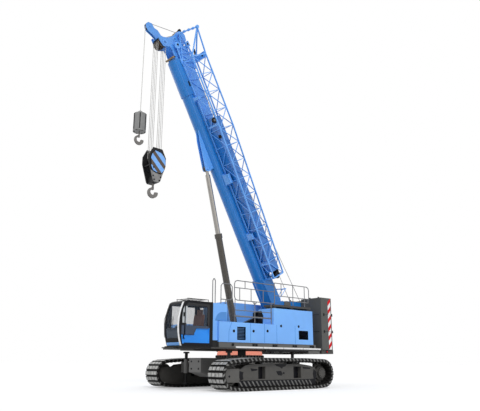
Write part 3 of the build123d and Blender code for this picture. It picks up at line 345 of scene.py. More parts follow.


# The head's and the jib's blues are the boom's blue painted paler, a painted highlight, and the inner stage's
# blue is painted darker, a painted shade.
finishes = {
    "panel_blue": paint("panel_blue", (0.195, 0.475, 1.0)),
    "boom_blue": paint("boom_blue", (0.016, 0.200, 0.60), (0.25, 0.38), specular=0.35, coat=0.35),
    "head_highlight_blue": paint("head_highlight_blue", (0.090, 0.330, 0.82), (0.2, 0.32), coat=0.5),
    "highlight_blue": paint("highlight_blue", (0.120, 0.385, 0.90), (0.2, 0.32), coat=0.5),
    "shade_blue": paint("shade_blue", (0.012, 0.160, 0.52), (0.2, 0.3), coat=0.7),
    "web_blue": paint("web_blue", (0.100, 0.300, 0.74), (0.25, 0.4)),
    "recess_blue": paint("recess_blue", (0.075, 0.270, 0.66)),
    "cab_blue": two_tone("cab_blue", (0.010, 0.25, 0.84), (0.006, 0.006, 0.008)),
    "frame_grey": paint("frame_grey", (0.130, 0.128, 0.122), (0.4, 0.6), grime=0.2, specular=0.3),
    "frame_dark": paint("frame_dark", (0.058, 0.057, 0.054), (0.4, 0.6), grime=0.25, specular=0.3),
    "frame_worn": paint("frame_worn", (0.100, 0.098, 0.093), (0.4, 0.6), grime=0.2, specular=0.3),
    "frame_light": paint("frame_light", (0.185, 0.183, 0.178), (0.4, 0.6), grime=0.15, specular=0.3),
    "track_steel": metal("track_steel", (0.010, 0.0095, 0.009), (0.5, 0.75), 0.0, specular=0.2),
    "pad_highlight": metal("pad_highlight", (0.40, 0.395, 0.38), (0.35, 0.6), 0.0, 9.0, 0.45),
    "edge_wear_and_highlight": metal("edge_wear_and_highlight", (0.15, 0.148, 0.142), (0.45, 0.7), 0.0, 9.0, 0.35),
    "dark_steel": paint("dark_steel", (0.014, 0.014, 0.014), (0.35, 0.5), specular=0.22),
    "barrel_brown": paint("barrel_brown", (0.062, 0.054, 0.043), (0.22, 0.32), specular=0.4, coat=0.5),
    "sheave_brown": paint("sheave_brown", (0.075, 0.056, 0.038), (0.4, 0.6), specular=0.3),
    "ring_orange": paint("ring_orange", (1.0, 0.42, 0.30), (0.4, 0.6)),
    "rod_chrome": metal("rod_chrome", (0.42, 0.40, 0.37), (0.08, 0.18), 1.0, depth=0.04),
    "rope_steel": metal("rope_steel", (0.42, 0.41, 0.39), (0.4, 0.6), 0.5, 60.0),
    "rail_grey": paint("rail_grey", (0.17, 0.17, 0.175), (0.4, 0.55)),
    "weight_grey": paint("weight_grey", (0.090, 0.091, 0.086), (0.45, 0.6), specular=0.3),
    "weight_light": paint("weight_light", (0.21, 0.21, 0.205), (0.3, 0.5), 3.0),
    "hook_dark": metal("hook_dark", (0.19, 0.18, 0.17), (0.4, 0.6), 0.4),
    "block_dark": cheek_paint("block_dark", (0.012, 0.012, 0.013), (0.25, 0.245, 0.24), 0.236, 7.86),
    "cab_glass": cab_pane("cab_glass"),
    "pane_pale": paint("pane_pale", (0.50, 0.53, 0.55), (0.06, 0.12)),
    "pane_navy": paint("pane_navy", (0.028, 0.050, 0.095), (0.06, 0.12)),
    "seat_black": woven("seat_black", (0.17, 0.085, 0.065)),
    "trim_black": paint("trim_black", (0.006, 0.006, 0.008), (0.35, 0.5), specular=0.18),
    "grille_black": paint("grille_black", (0.0015, 0.0015, 0.002), (0.6, 0.8), specular=0.04),
    "stripe_red": paint("stripe_red", (0.62, 0.002, 0.008), (0.35, 0.5), specular=0.2),
    "stripe_white": paint("stripe_white", (0.86, 0.86, 0.86), (0.35, 0.5)),
    "roller_tan": paint("roller_tan", (0.26, 0.18, 0.095), (0.4, 0.6)),
}
# The ring's paint glows a little by itself, a painted light that brightens it in the shade under the deck.
ring = finishes["ring_orange"].node_tree.nodes["Principled BSDF"]
ring.inputs["Emission Color"].default_value = (1.0, 0.36, 0.26, 1.0)
ring.inputs["Emission Strength"].default_value = 0.6
own_finish = {
    "boom_head": "head_highlight_blue", "stowed_jib": "highlight_blue", "jib_brackets": "highlight_blue",
    "boom_lift_bracket": "highlight_blue", "jib_inner_stage": "shade_blue", "aux_weight": "weight_light",
    "head_sheaves": "sheave_brown", "housing_grilles": "grille_black", "carbody": "frame_light",
    "lift_barrel": "barrel_brown", "track_frame_left": "frame_dark", "track_frame_right": "frame_dark",
    "turntable_frame": "frame_dark", "idlers": "frame_dark", "drive_sprockets": "frame_dark",
    "walkways": "frame_dark", "tail_carrier": "frame_dark", "lift_foot_ears": "frame_dark",
}
for row in record["subparts"]:
    mesh = nodes[row["node"]].data
    mesh.materials.clear()
    mesh.materials.append(finishes[own_finish.get(row["node"], row["material_slot"])])
print("finishes", len(finishes))

# %% [markdown]
# Rigging and trim are made from a few plain shapes. A kit of them keeps each piece short: it collects rods,
# plates and discs in one mesh, and one call turns the mesh into an object that rides on a body of the crane.
# Paint lines, panes and the like are plates as thin as a skin, laid on the exact solids.

# %% A kit for small pieces
skin = 0.003
sharp_angle = math.radians(35)


class Kit:
    """The shapes of one piece, joined into one object by done()."""

    def __init__(self, name):
        self.name = name
        self.mesh = bmesh.new()

    def rod(self, a, b, radius, sides=10):
        a, b = Vector(a), Vector(b)
        along = b - a
        place = Matrix.Translation((a + b) / 2) @ along.to_track_quat("Z", "Y").to_matrix().to_4x4()
        bmesh.ops.create_cone(self.mesh, cap_ends=True, segments=sides, radius1=radius, radius2=radius,
                              depth=along.length, matrix=place)

    def slab(self, low, high):
        low, high = Vector(low), Vector(high)
        size = high - low
        place = Matrix.Translation((low + high) / 2) @ Matrix.Diagonal((*size, 1.0))
        bmesh.ops.create_cube(self.mesh, size=1.0, matrix=place)

    def flank(self, side, x, y, z):
        """A box from pairs of limits, with y measured outwards from the middle plane on one side."""
        near, far = sorted((side * y[0], side * y[1]))
        self.slab((min(x), near, min(z)), (max(x), far, max(z)))

    def tube(self, rings):
        """A hollow length from four rings of points: outer start, outer end, inner end, inner start."""
        loops = [[self.mesh.verts.new(point) for point in ring] for ring in rings]
        count = len(loops[0])
        for near, far in zip(loops, loops[1:] + loops[:1]):
            for index in range(count):
                after = (index + 1) % count
                self.mesh.faces.new((near[index], near[after], far[after], far[index]))

    def disc(self, centre, axis, radius, thick, sides=20):
        centre, axis = Vector(centre), Vector(axis).normalized()
        self.rod(centre, centre + axis * thick, radius, sides)

    def plate(self, points, shift):
        """A flat outline pushed along a shift."""
        shift = Vector(shift)
        near = [self.mesh.verts.new(Vector(point)) for point in points]
        far = [self.mesh.verts.new(Vector(point) + shift) for point in points]
        self.mesh.faces.new(near)
        self.mesh.faces.new(list(reversed(far)))
        for index in range(len(points)):
            after = (index + 1) % len(points)
            self.mesh.faces.new((near[after], near[index], far[index], far[after]))

    def done(self, body, finish, smooth=False):
        bmesh.ops.recalc_face_normals(self.mesh, faces=self.mesh.faces)
        data = bpy.data.meshes.new(self.name)
        self.mesh.to_mesh(data)
        self.mesh.free()
        if smooth:
            data.shade_smooth()
            data.set_sharp_from_angle(angle=sharp_angle)
        piece = bpy.data.objects.new(self.name, data)
        bpy.context.scene.collection.objects.link(piece)
        data.materials.append(finishes[finish])
        if body:
            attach(piece, body)
        print(self.name, len(data.polygons), "faces")
        return piece


# %% [markdown]
# The counterweight carries a strip of red and white warning stripes on its outer corner. They are paint, so
# each stripe is a thin plate that lies on the slab. Cutting a slanting band to the strip's edges gives each
# plate.

# %% Warning stripes
stripe_rise = 0.18
thinnest_band = 0.02
weight_low, weight_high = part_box("counterweight_top")
base_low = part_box("counterweight_low")[0]
strip_front, strip_rear = -3.64, -3.815
strip_y = weight_high.y


def stripe_band(index, low, high):
    """The part between low and high of one slanting band, as (x, z) points."""
    start = low + stripe_rise * (index - 1)
    corners = [(strip_front, start), (strip_front, start + stripe_rise),
               (strip_rear, start + 2 * stripe_rise), (strip_rear, start + stripe_rise)]
    return [(x, min(max(z, low), high)) for x, z in corners]


strip_low, strip_high = base_low.z + 0.02, weight_high.z - 0.1
red = Kit("warning_stripes_red")
white = Kit("warning_stripes_white")
band_count = int((strip_high - strip_low) / stripe_rise) + 1
for side in (-1, 1):
    for index in range(band_count):
        kit = red if index % 2 else white
        outline = stripe_band(index, strip_low, strip_high)
        heights = [z for _, z in outline]
        if max(heights) - min(heights) > thinnest_band:
            kit.plate([(x, side * strip_y, z) for x, z in outline], (0, side * skin, 0))
red.done("upper", "stripe_red")
white.done("upper", "stripe_white")

# %% [markdown]
# The slabs of the counterweight lie on each other, and the joints show as dark lines. An outline a few
# millimetres larger than the slab, and very thin, draws each line round all sides. Small lugs lock the slabs.

# %% Counterweight joints
corner_cut = 0.13
joint_heights = (2.21, 2.91)
joint_half = 0.007
lug_inner, lug_half, lug_rise = 1.45, 0.03, 0.055
lugs = ((-3.37, 1.575), (-3.93, 1.54))
slab_joints = Kit("slab_joints")
front_x, rear_x, side_reach = weight_high.x + skin, weight_low.x - skin, weight_high.y + skin
for z in joint_heights:
    outline = [(front_x - corner_cut, side_reach), (front_x, side_reach - corner_cut),
               (front_x, corner_cut - side_reach), (front_x - corner_cut, -side_reach),
               (rear_x + corner_cut, -side_reach), (rear_x, corner_cut - side_reach),
               (rear_x, side_reach - corner_cut), (rear_x + corner_cut, side_reach)]
    slab_joints.plate([(x, y, z - joint_half) for x, y in outline], (0, 0, 2 * joint_half))
    for side in (-1, 1):
        for x, reach in lugs:
            slab_joints.flank(side, (x - lug_half, x + lug_half), (lug_inner, reach),
                              (z - lug_rise, z + lug_rise))
slab_joints.done("upper", "trim_black")

# %% [markdown]
# The boom is easiest to dress in its own directions: s along it from the foot's pin, h out of its back, and y
# across. A few helpers turn such places into the crane's X, Y and Z, and lay a pin or a plate there.

# %% Places on the boom
boom_angle = math.radians(61.0)
boom_foot = Vector((-2.017, 0.0, 2.9))


def boom_point(s, h, y=0.0):
    return boom_foot + Vector((s * math.cos(boom_angle) - h * math.sin(boom_angle), y,
                               s * math.sin(boom_angle) + h * math.cos(boom_angle)))


def boom_pin(kit, s, h, near, far, radius, sides=14):
    kit.rod(boom_point(s, h, near), boom_point(s, h, far), radius, sides)


def boom_plate(kit, outline, y, thick):
    kit.plate([boom_point(s, h, y) for s, h in outline], (0, thick, 0))


print("boom foot", tuple(round(value, 3) for value in boom_foot))

# %% [markdown]
# Two hoist ropes leave the winches behind the boom's foot and run up its back to the head. They are taut,
# so each is straight. Each rope has two halves, which meet at a given share of its length. A guide on the
# boom's foot keeps the main rope clear of the boom at level.

# %% Hoist ropes
hoist_radius = 0.012
head_entry = (12.40, 0.707)
rope_lines = (
    ("main_hoist_rope", Vector((-3.13, 0.20, 2.85)), boom_point(*head_entry, 0.10), 0.107),
    ("aux_hoist_rope", Vector((-3.50, 0.20, 3.40)), boom_point(*head_entry, -0.10), 0.45),
)
for name, start, end, bend_share in rope_lines:
    middle = start.lerp(end, bend_share)
    lower = Kit(name + "_lower")
    lower.rod(start, middle, hoist_radius)
    piece = lower.done(None, "rope_steel", True)
    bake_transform(piece)
    upper = Kit(name + "_upper")
    upper.rod(middle, end, hoist_radius)
    piece = upper.done(None, "rope_steel", True)
    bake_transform(piece)
guide = Kit("rope_guide")
guide_s, guide_h = 0.81, 0.885
foot_h, splay = 0.30, 0.9
boom_pin(guide, guide_s, guide_h, 0.30, 0.08, 0.026, 12)
for y in (0.09, 0.285):
    for foot_s in (0.55, 1.05):
        guide.rod(boom_point(foot_s, foot_h, y * splay), boom_point(guide_s, guide_h, y), 0.016)
guide.done("boom_base", "highlight_blue", True)

# %% [markdown]
# The lift cylinder's rod ends in a dark eye between the plates of the boom's bracket.

# %% Eye of the lift rod
eye_radius, eye_half = 0.125, 0.070
eye = Kit("lift_rod_eye_cap")
boom_pin(eye, 6.9, -0.608, -eye_half - skin, eye_half + skin, eye_radius + skin, 24)
eye.done("lift_rod", "sheave_brown", True)

# %% [markdown]
# The falls get shorter or longer as a hook moves. Rods laid within the bounds of the exact falls stand in
# for them, and the exact falls are hidden.

# %% Rope falls
fall_radius = 0.011
fall_low, fall_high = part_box("main_rope_falls")
fall_xs = (fall_low.x + fall_radius, fall_high.x - fall_radius)
fall_count = 4
fall_gap = (fall_high.y - fall_low.y - 2 * fall_radius) / (fall_count - 1)
falls = Kit("main_falls_ropes")
for x in fall_xs:
    for index in range(fall_count):
        y = fall_low.y + fall_radius + index * fall_gap
        falls.rod((x, y, fall_low.z), (x, y, fall_high.z), fall_radius)
piece = falls.done(None, "rope_steel", True)
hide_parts("main_rope_falls")
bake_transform(piece)
single_low, single_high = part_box("aux_rope_fall")
single_x = (single_low.x + single_high.x) / 2
single = Kit("aux_fall_rope")
single.rod((single_x, 0, single_low.z), (single_x, 0, single_high.z), fall_radius)
piece = single.done(None, "rope_steel", True)
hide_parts("aux_rope_fall")
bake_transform(piece)

# %% [markdown]
# At the head the ropes turn down. The main rope drops from the guide sheave to the main sheaves, and the
# rope of the auxiliary hook goes over a tan roller to the nose. Bosses and holes dot the side plates.

# %% Head
head_side = 0.245
boss_thick = 0.014
rope_turns = (
    ((12.565, 0.54, 0.10), (12.48, -0.47, 0.055)),
    ((12.455, 0.70, -0.10), (12.705, 0.60, -0.05)),
    ((12.705, 0.60, -0.05), (13.20, -0.625, 0.0)),
)
ropes = Kit("head_ropes")
for start, end in rope_turns:
    ropes.rod(boom_point(*start), boom_point(*end), hoist_radius)
ropes.done("boom_head", "rope_steel", True)
rollers = Kit("head_rollers")
boom_pin(rollers, 12.665, 0.565, -0.22, 0.20, 0.038, 16)
boom_pin(rollers, 11.62, -0.285, -0.26, 0.26, 0.042, 16)
rollers.done("boom_head", "roller_tan", True)
bosses = Kit("head_bosses")
# Each hole is a dark disc on its boss, painted shade in the bore.
holes = Kit("head_holes")
boss_places = ((12.265, -0.425, 0.12), (12.340, 0.133, 0.09), (12.422, 0.404, 0.10), (12.05, 0.05, 0.06))
for s, h, radius in boss_places:
    for side in (-1, 1):
        bosses.disc(boom_point(s, h, side * head_side), (0, side, 0), radius, boss_thick)
        holes.disc(boom_point(s, h, side * (head_side + boss_thick)), (0, side, 0), radius * 0.52, skin)
bosses.done("boom_head", "highlight_blue", True)
holes.done("boom_head", "shade_blue", True)
dark = Kit("head_dark_trim")
boom_pin(dark, 12.66, 0.565, 0.19, 0.28, 0.065, 16)
for side in (-1, 1):
    dark.rod(boom_point(11.62, -0.285, side * 0.232), boom_point(11.62, -0.16, side * 0.232), 0.022)
dark.done("boom_head", "trim_black", True)

# %% [markdown]
# The boom's base ends in a long smooth mouth that hides the collars of the sections inside it. It is a thin
# sleeve with the same rounded belly as the boom: one outline is made larger, one smaller, and a tube joins
# them. Thin pale lines run along the base and the mouth, where the flat sides meet the belly: painted
# highlights on those edges.

# %% Mouth of the boom's base


def boom_ring(inset, s):
    """Points round the boom's cross-section: a flat back with cut corners and a round belly."""
    half, top, belly = 0.29 - inset, 0.34 - inset, 0.33 - inset
    corner, belly_middle, spread = 0.05 - inset * 0.4, -0.01, 24
    points = [(half, top - corner), (half - corner, top), (corner - half, top), (-half, top - corner)]
    swing = math.asin(half / belly)
    for step in range(spread + 1):
        angle = -swing + 2 * swing * step / spread
        points.append((belly * math.sin(angle), belly_middle - belly * math.cos(angle)))
    return [boom_point(s, h, y) for y, h in points]


mouth_start, mouth_end = 9.96, 11.50
mouth_out, mouth_in = -0.027, 0.0005
mouth = Kit("boom_mouth")
mouth.tube([boom_ring(mouth_out, mouth_start), boom_ring(mouth_out, mouth_end),
            boom_ring(mouth_in, mouth_end), boom_ring(mouth_in, mouth_start)])
mouth.done("boom_base", "boom_blue", True)
# These pale rods along the edges are painted highlights.
highlight_radius = 0.006
highlight_places = ((0.2915, -0.03), (0.236, -0.243))
highlight_runs = ((0.9, mouth_start, 1.0, 1.0), (mouth_start, mouth_end, 1.10, 1.09))
highlight_lines = Kit("boom_highlight_lines")
for y, h in highlight_places:
    for low, high, grow_h, grow_y in highlight_runs:
        for side in (-1, 1):
            highlight_lines.rod(boom_point(low, h * grow_h, side * y * grow_y),
                        boom_point(high, h * grow_h, side * y * grow_y), highlight_radius, 6)
highlight_lines.done("boom_base", "highlight_blue")
mouth_side = 0.315
slot_outline = ((10.29, -0.11), (10.29, -0.01), (10.50, 0.0), (10.50, -0.10))
slots = Kit("mouth_slots")
for side in (-1, 1):
    boom_plate(slots, slot_outline, side * mouth_side, side * 0.006)
    for s in (11.40, 10.95):
        slots.disc(boom_point(s, 0.10, side * mouth_side), (0, side, 0), 0.035, 0.012, 6)
slots.done("boom_base", "trim_black")

# %% [markdown]
# The stowed jib ends beside the head in a fork of plates and short struts. Pins and clips hold the jib to the
# boom. The struts zigzag between two chords, so a loop over the corners makes them all.

# %% Root of the jib and its clips
root_y = 0.352
fork = Kit("jib_fork")
low_chord = [(10.95, -0.02), (11.32, -0.04), (11.70, -0.03), (12.10, 0.0)]
high_chord = [(10.95, 0.58), (11.24, 0.56), (11.62, 0.60), (12.02, 0.64)]
zigzag = [high_chord[0]] + [corner for pair in zip(low_chord[1:], high_chord[1:]) for corner in pair]
for run, radius in ((low_chord, 0.030), (high_chord, 0.030), (zigzag, 0.022)):
    for (s0, h0), (s1, h1) in zip(run, run[1:]):
        fork.rod(boom_point(s0, h0, root_y), boom_point(s1, h1, root_y), radius, 8)
for outline in (((11.95, -0.10), (12.16, -0.06), (12.14, 0.20), (11.98, 0.26), (11.86, 0.06)),
                ((11.90, 0.50), (12.10, 0.48), (12.16, 0.70), (11.92, 0.72)),
                ((11.22, -0.09), (11.46, -0.09), (11.42, 0.16), (11.26, 0.16))):
    boom_plate(fork, outline, root_y - 0.02, 0.045)
pin_half = 0.035
for s, h, y in ((12.49, 0.50, 0.56), (12.48, 0.62, 0.72), (12.47, 0.74, 0.86)):
    boom_pin(fork, s, h, y - pin_half, y + pin_half, 0.055, 12)
fork.done("boom_base", "highlight_blue", True)
web = Kit("jib_root_web")
boom_plate(web, ((8.62, 0.05), (8.62, 0.50), (11.98, 0.56), (11.98, 0.02)), 0.328, 0.008)
web.done("boom_base", "web_blue")
clips = Kit("jib_clips")
clips.rod(boom_point(11.42, 0.80, 0.36), boom_point(11.76, 0.86, 0.36), 0.042, 12)
stubs = ((6.342, 0.374, 0.055), (6.092, 0.119, 0.035), (6.049, 0.404, 0.045), (3.456, 0.016, 0.070))
for s, h, radius in stubs:
    boom_pin(clips, s, h, 0.30, 0.415, radius)
for s, h, radius in ((12.05, 0.07, 0.05), (12.02, 0.60, 0.05), (11.34, 0.03, 0.05)):
    clips.disc(boom_point(s, h, root_y + 0.025), (0, 1, 0), radius, 0.006)
clips.disc(boom_point(11.30, 0.683, 0.86), boom_point(0, 0) - boom_point(0, 1), 0.052, 0.006)
clip_count, clip_pitch, clip_length = 15, 0.5, 0.09
for index in range(clip_count):
    s = 2.2 + index * clip_pitch
    ends = (s, s + clip_length)
    boom_plate(clips, ((ends[0], 0.20), (ends[1], 0.20), (ends[1], 0.245), (ends[0], 0.245)), 0.289, 0.018)
for y in (0.47, 0.60):
    boom_plate(clips, ((2.10, 0.34), (2.10, 0.50), (1.66, 0.50), (1.66, 0.34)), y, 0.07)
clips.done("boom_base", "trim_black", True)
side_wheels = Kit("jib_side_wheels")
for s, h, radius in ((8.611, 0.014, 0.115), (7.904, -0.010, 0.075)):
    boom_pin(side_wheels, s, h, 0.795, 0.842, radius, 20)
side_wheels.done("boom_base", "trim_black", True)
hub_caps = Kit("jib_wheel_hubs")
hub_caps.disc(boom_point(8.611, 0.014, 0.842), (0, 1, 0), 0.05, 0.008)
hub_caps.done("boom_base", "rail_grey", True)

# %% [markdown]
# The hook block has a shield on each cheek, and the near one is painted in slanting bands of light blue and
# brown. The bands are a shader: the difference of two object coordinates makes a slanting ruler, and a
# threshold turns it into stripes. The far shield is plain black. The weight over the small hook has dark
# rods down its side that are painted shade bands, and dark notches at its foot.

# %% Hook shields and weight shade bands


def banded(name, light, dark, pitch, light_share=0.56):
    material, tree, shader = new_material(name)
    axes = object_axes(tree)
    ruler = math_node(tree, "PINGPONG", math_node(tree, "SUBTRACT", axes["Z"], axes["X"]), pitch)
    band = math_node(tree, "GREATER_THAN", ruler, pitch * light_share)
    wear = noise(tree, 9.0)
    tint = worn(tree, wear, light, 0.85, 1.1)
    fill(tree, shader.inputs["Base Color"], mixed(tree, band, tint, (*dark, 1.0)))
    roughness_range(tree, shader, wear, 0.3, 0.5)
    return material


cheek_y = 0.24
rim_thick, shield_thick = 0.012, 0.024
finishes["block_bands"] = banded("block_bands", (0.20, 0.45, 0.93), (0.085, 0.062, 0.048), 0.235)
shield = ((4.51, 8.66), (4.63, 8.53), (4.68, 8.36), (4.65, 8.00), (4.57, 7.86), (4.40, 7.81), (4.22, 7.80),
          (4.10, 7.95), (4.04, 8.14), (4.05, 8.36), (4.10, 8.52), (4.28, 8.62))
near_shield = Kit("hook_shield_near")
near_shield.plate([(x, cheek_y + rim_thick, z) for x, z in shield], (0, shield_thick, 0))
near_shield.done("hook_block", "block_bands")
far_shield = Kit("hook_shield_far")
shield_middle = Vector((4.36, 0, 8.20))
rim = [shield_middle + (Vector((x, 0, z)) - shield_middle) * 1.07 for x, z in shield]
for side in (-1, 1):
    far_shield.plate([(point.x, side * cheek_y, point.z) for point in rim], (0, side * rim_thick, 0))
    for x, z in ((4.22, 7.66), (4.55, 7.66), (4.27, 7.52), (4.50, 7.52)):
        far_shield.disc((x, side * cheek_y, z), (0, side, 0), 0.030, 0.016)
far_shield.plate([(x, -cheek_y - rim_thick, z) for x, z in shield], (0, -shield_thick, 0))
far_shield.disc((4.56, cheek_y + rim_thick + shield_thick, 7.98), (0, 1, 0), 0.032, 0.004)
far_shield.done("hook_block", "trim_black")
weight_bottom, weight_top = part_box("aux_weight")
weight_x = (weight_bottom.x + weight_top.x) / 2
weight_reach = (weight_top.x - weight_bottom.x) / 2
# Dark rods down the weight's side are painted shade bands; short ones at its foot mark its notches.
shade_band_count = 6
notch_reach = 0.20
shade_bands_and_notches = Kit("weight_shade_bands_and_notches")
for index in range(shade_band_count):
    angle = math.tau * index / shade_band_count
    x, y = weight_x + weight_reach * math.cos(angle), weight_reach * math.sin(angle)
    shade_bands_and_notches.rod((x, y, weight_bottom.z + 0.06), (x, y, weight_top.z - 0.16), 0.022, 8)
    notch = angle + math.tau / (2 * shade_band_count)
    x, y = weight_x + notch_reach * math.cos(notch), notch_reach * math.sin(notch)
    shade_bands_and_notches.rod((x, y, weight_bottom.z), (x, y, weight_bottom.z + 0.09), 0.038, 12)
shade_bands_and_notches.done("aux_weight", "dark_steel", True)

# %% [markdown]
# The housings are doors in a row. Thin blue joints part them, and a latch sits on each. Under them runs a
# grey skirt with pairs of black brackets, a white strip in four lengths marks the edge of the deck, and a
# small lamp closes the tail.

# %% Housing joints, latches and deck edge
side_y = 1.5
door_top = 2.365
crack = 0.007
skirt_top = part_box("deck_skirts")[1].z
joints = Kit("panel_joints")
for side, lines in ((1, ((0.78, door_top), (0.06, door_top), (-0.60, door_top), (-1.64, door_top))),
                    (-1, ((1.25, door_top), (0.30, door_top), (-0.55, 3.345), (-1.42, 3.345)))):
    for x, high in lines:
        joints.flank(side, (x - crack, x + crack), (side_y, side_y + skin), (skirt_top + 0.02, high))
bend = [(1.70, door_top), (1.83, 2.05), (1.84, skirt_top + 0.02)]
for (x0, z0), (x1, z1) in zip(bend, bend[1:]):
    joints.rod((x0, side_y, z0), (x1, side_y, z1), crack, 6)
joints.done("upper", "boom_blue")
latch_thick = 0.008
bracket_half = 0.05
latches = Kit("door_latches")
for side, places in ((1, ((1.60, 2.05), (0.63, 2.08), (-0.10, 2.11), (-0.84, 2.33), (-1.85, 2.35))),
                     (-1, ((1.60, 2.05), (0.45, 2.08), (-0.40, 2.33), (-1.30, 2.33), (-2.62, 2.33)))):
    for x, z in places:
        latches.disc((x, side * side_y, z), (0, side, 0), 0.052, latch_thick, 20)
        latches.disc((x, side * (side_y + latch_thick), z), (0, side, 0), 0.022, 0.010, 12)
for side in (-1, 1):
    for x in (1.64, 0.62, 0.48, -0.43, -0.57, -1.54, -1.68, -2.56, -2.70):
        latches.flank(side, (x - bracket_half, x + bracket_half), (1.484, 1.506), (1.525, 1.615))
latches.done("upper", "trim_black")
strip = Kit("deck_edge_strip")
for side in (-1, 1):
    for x0, x1 in ((1.50, 0.16), (0.13, -0.94), (-0.97, -2.07), (-2.10, -3.15)):
        strip.flank(side, (x0, x1), (1.486, 1.512), (1.455, 1.515))
strip.done("upper", "stripe_white")
tray_reach, tray_low, deck_low = 1.484, 1.358, 1.4156
tray = Kit("deck_tray")
for side in (-1, 1):
    tray.flank(side, (-2.42, -0.02), (1.40, tray_reach), (tray_low, deck_low))
    tray.flank(side, (-0.28, -0.46), (1.42, tray_reach), (1.28, tray_low))
    tray.flank(side, (-0.80, -0.90), (1.42, tray_reach), (1.32, tray_low))
tray.slab((0.55, 0.84, 1.20), (0.84, 0.98, deck_low))
tray.done("upper", "trim_black")
lamp_seat = Kit("tail_lamp_seats")
lamp = Kit("tail_lamps")
for side in (-1, 1):
    lamp_seat.flank(side, (-3.60, -3.46), (1.516, 1.530), (1.335, 1.455))
    lamp.flank(side, (-3.56, -3.50), (1.530, 1.538), (1.36, 1.41))
lamp_seat.done("upper", "trim_black")
lamp.done("upper", "stripe_red")

# %% [markdown]
# Between the low housing and the boom stand dark valve blocks, and a grey plate closes the cheek beside the
# pivot. The locker behind the cab has a dark foot and a slightly darker sunk panel.

# %% Deck gear and locker
gear_y, gear_width = 0.42, 0.16
gear_blocks = (((0.30, 1.47), (0.30, 2.44), (-0.27, 2.66), (-0.27, 1.47)),
               ((-0.33, 1.47), (-0.33, 2.88), (-0.80, 3.00), (-0.80, 1.47)))
gear_face_x = -0.447
gear_face = ((0.63, 2.38), (0.63, 2.93), (0.80, 2.93), (0.90, 2.74), (0.86, 2.38))
gear = Kit("deck_gear")
for outline in gear_blocks:
    gear.plate([(x, gear_y, z) for x, z in outline], (0, gear_width, 0))
gear.plate([(gear_face_x, y, z) for y, z in gear_face], (0.05, 0, 0))
gear.done("upper", "trim_black")
cheek_plate = Kit("cheek_cover")
cheek_plate.slab((-2.54, 0.396, 3.16), (-2.17, 0.425, 3.47))
cheek_plate.done("upper", "frame_grey")
locker_y = 1.42
foot_face = locker_y + 0.012
foot_heights = (1.467, 1.70)
locker_foot = Kit("locker_foot")
locker_foot.flank(1, (2.30, 2.57), (locker_y - 0.004, foot_face), foot_heights)
locker_foot.flank(1, (2.558, 2.570), (0.885, foot_face), foot_heights)
locker_foot.done("upper", "dark_steel")
panel_outline = ((2.42, 2.39), (2.34, 2.58), (2.25, 2.66), (2.15, 2.70), (1.90, 2.71), (1.88, 2.39))
locker_panel = Kit("locker_panel")
locker_panel.plate([(x, locker_y, z) for x, z in panel_outline], (0, 0.005, 0))
locker_panel.done("upper", "recess_blue")

# %% [markdown]
# The cab's windscreen wraps round its near corner, so the pillar looks slim. Thin panes lie on the pillar
# and on the door's front edge, split at the hinge so that the door can swing. A pale strip, a painted
# highlight on the corner's edge, follows the curved corner, a bent rail stands in front of the glass, and the
# last, black rod is the wiper.

# %% Cab trim
door_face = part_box("cab_door")[1].y
wall_face = side_y
cab_face = ((3.905, 1.485), (3.968, 1.70), (4.012, 1.95), (4.022, 2.20), (3.998, 2.45), (3.935, 2.72),
            (3.845, 2.945))
strip_inner, strip_outer, strip_thick = 1.425, 1.496, 0.024
# This pale strip is a painted highlight along the cab's curved corner.
corner = Kit("cab_corner_highlight")
for (x0, z0), (x1, z1) in zip(cab_face, cab_face[1:]):
    corner.plate([(x0, strip_inner, z0), (x1, strip_inner, z1), (x1, strip_outer, z1), (x0, strip_outer, z0)],
                 (strip_thick, 0, 0))
corner.done("upper", "stripe_white")
flat_trim = (
    ("cab_quarter_pane", "upper", "pane_pale", wall_face,
     ((3.812, 2.24), (3.895, 2.24), (3.900, 2.45), (3.870, 2.70), (3.812, 2.80))),
    ("door_quarter_pane", "cab_door", "pane_pale", door_face,
     ((3.735, 2.24), (3.794, 2.24), (3.794, 2.80), (3.735, 2.80))),
    ("cab_low_pane", "upper", "pane_navy", wall_face,
     ((3.812, 1.86), (3.925, 1.86), (3.925, 2.16), (3.812, 2.16))),
    ("door_low_pane", "cab_door", "pane_navy", door_face,
     ((3.794, 1.86), (3.794, 2.16), (2.80, 2.16), (2.80, 2.075), (3.34, 2.075), (3.45, 1.86))),
    ("cab_low_panel", "upper", "cab_blue", wall_face,
     ((3.812, 1.56), (3.885, 1.56), (3.925, 1.845), (3.812, 1.845))),
)
for name, body, finish, face, outline in flat_trim:
    flat = Kit(name)
    flat.plate([(x, face, z) for x, z in outline], (0, skin, 0))
    flat.done(body, finish)
sill = Kit("cab_front_sill")
sill.plate([(3.905, 0.66, 1.50), (3.935, 0.66, 1.60), (3.935, 1.43, 1.60), (3.905, 1.43, 1.50)],
           (0.014, 0, 0))
sill.done("upper", "panel_blue")
arm = Kit("cab_mirror_arm")
arm_bends = ((3.86, 0.64, 2.93), (4.03, 0.60, 2.37), (4.00, 0.60, 1.79), (3.95, 0.66, 1.74))
for a, b in zip(arm_bends, arm_bends[1:]):
    arm.rod(a, b, 0.009)
arm.done("upper", "rail_grey", True)
wiper = Kit("cab_mirror")
wiper.rod((3.93, 0.95, 1.80), (4.035, 1.15, 2.45), 0.010)
wiper.done("upper", "trim_black", True)

# %% [markdown]
# A crawler's belt is a row of flat shoes on a chain. The exact loop has the shoes in its outline, so the
# script walks the same way round: six wheels, the straight runs between them, and sixty-four equal steps
# along the whole. Each step gets a pad on its face, painted pale as a painted highlight, a slanting edge on
# its outer side, a pale plate on its inner end that is a painted highlight, and a guide tooth inside. Shoes
# that touch the ground get no pads.

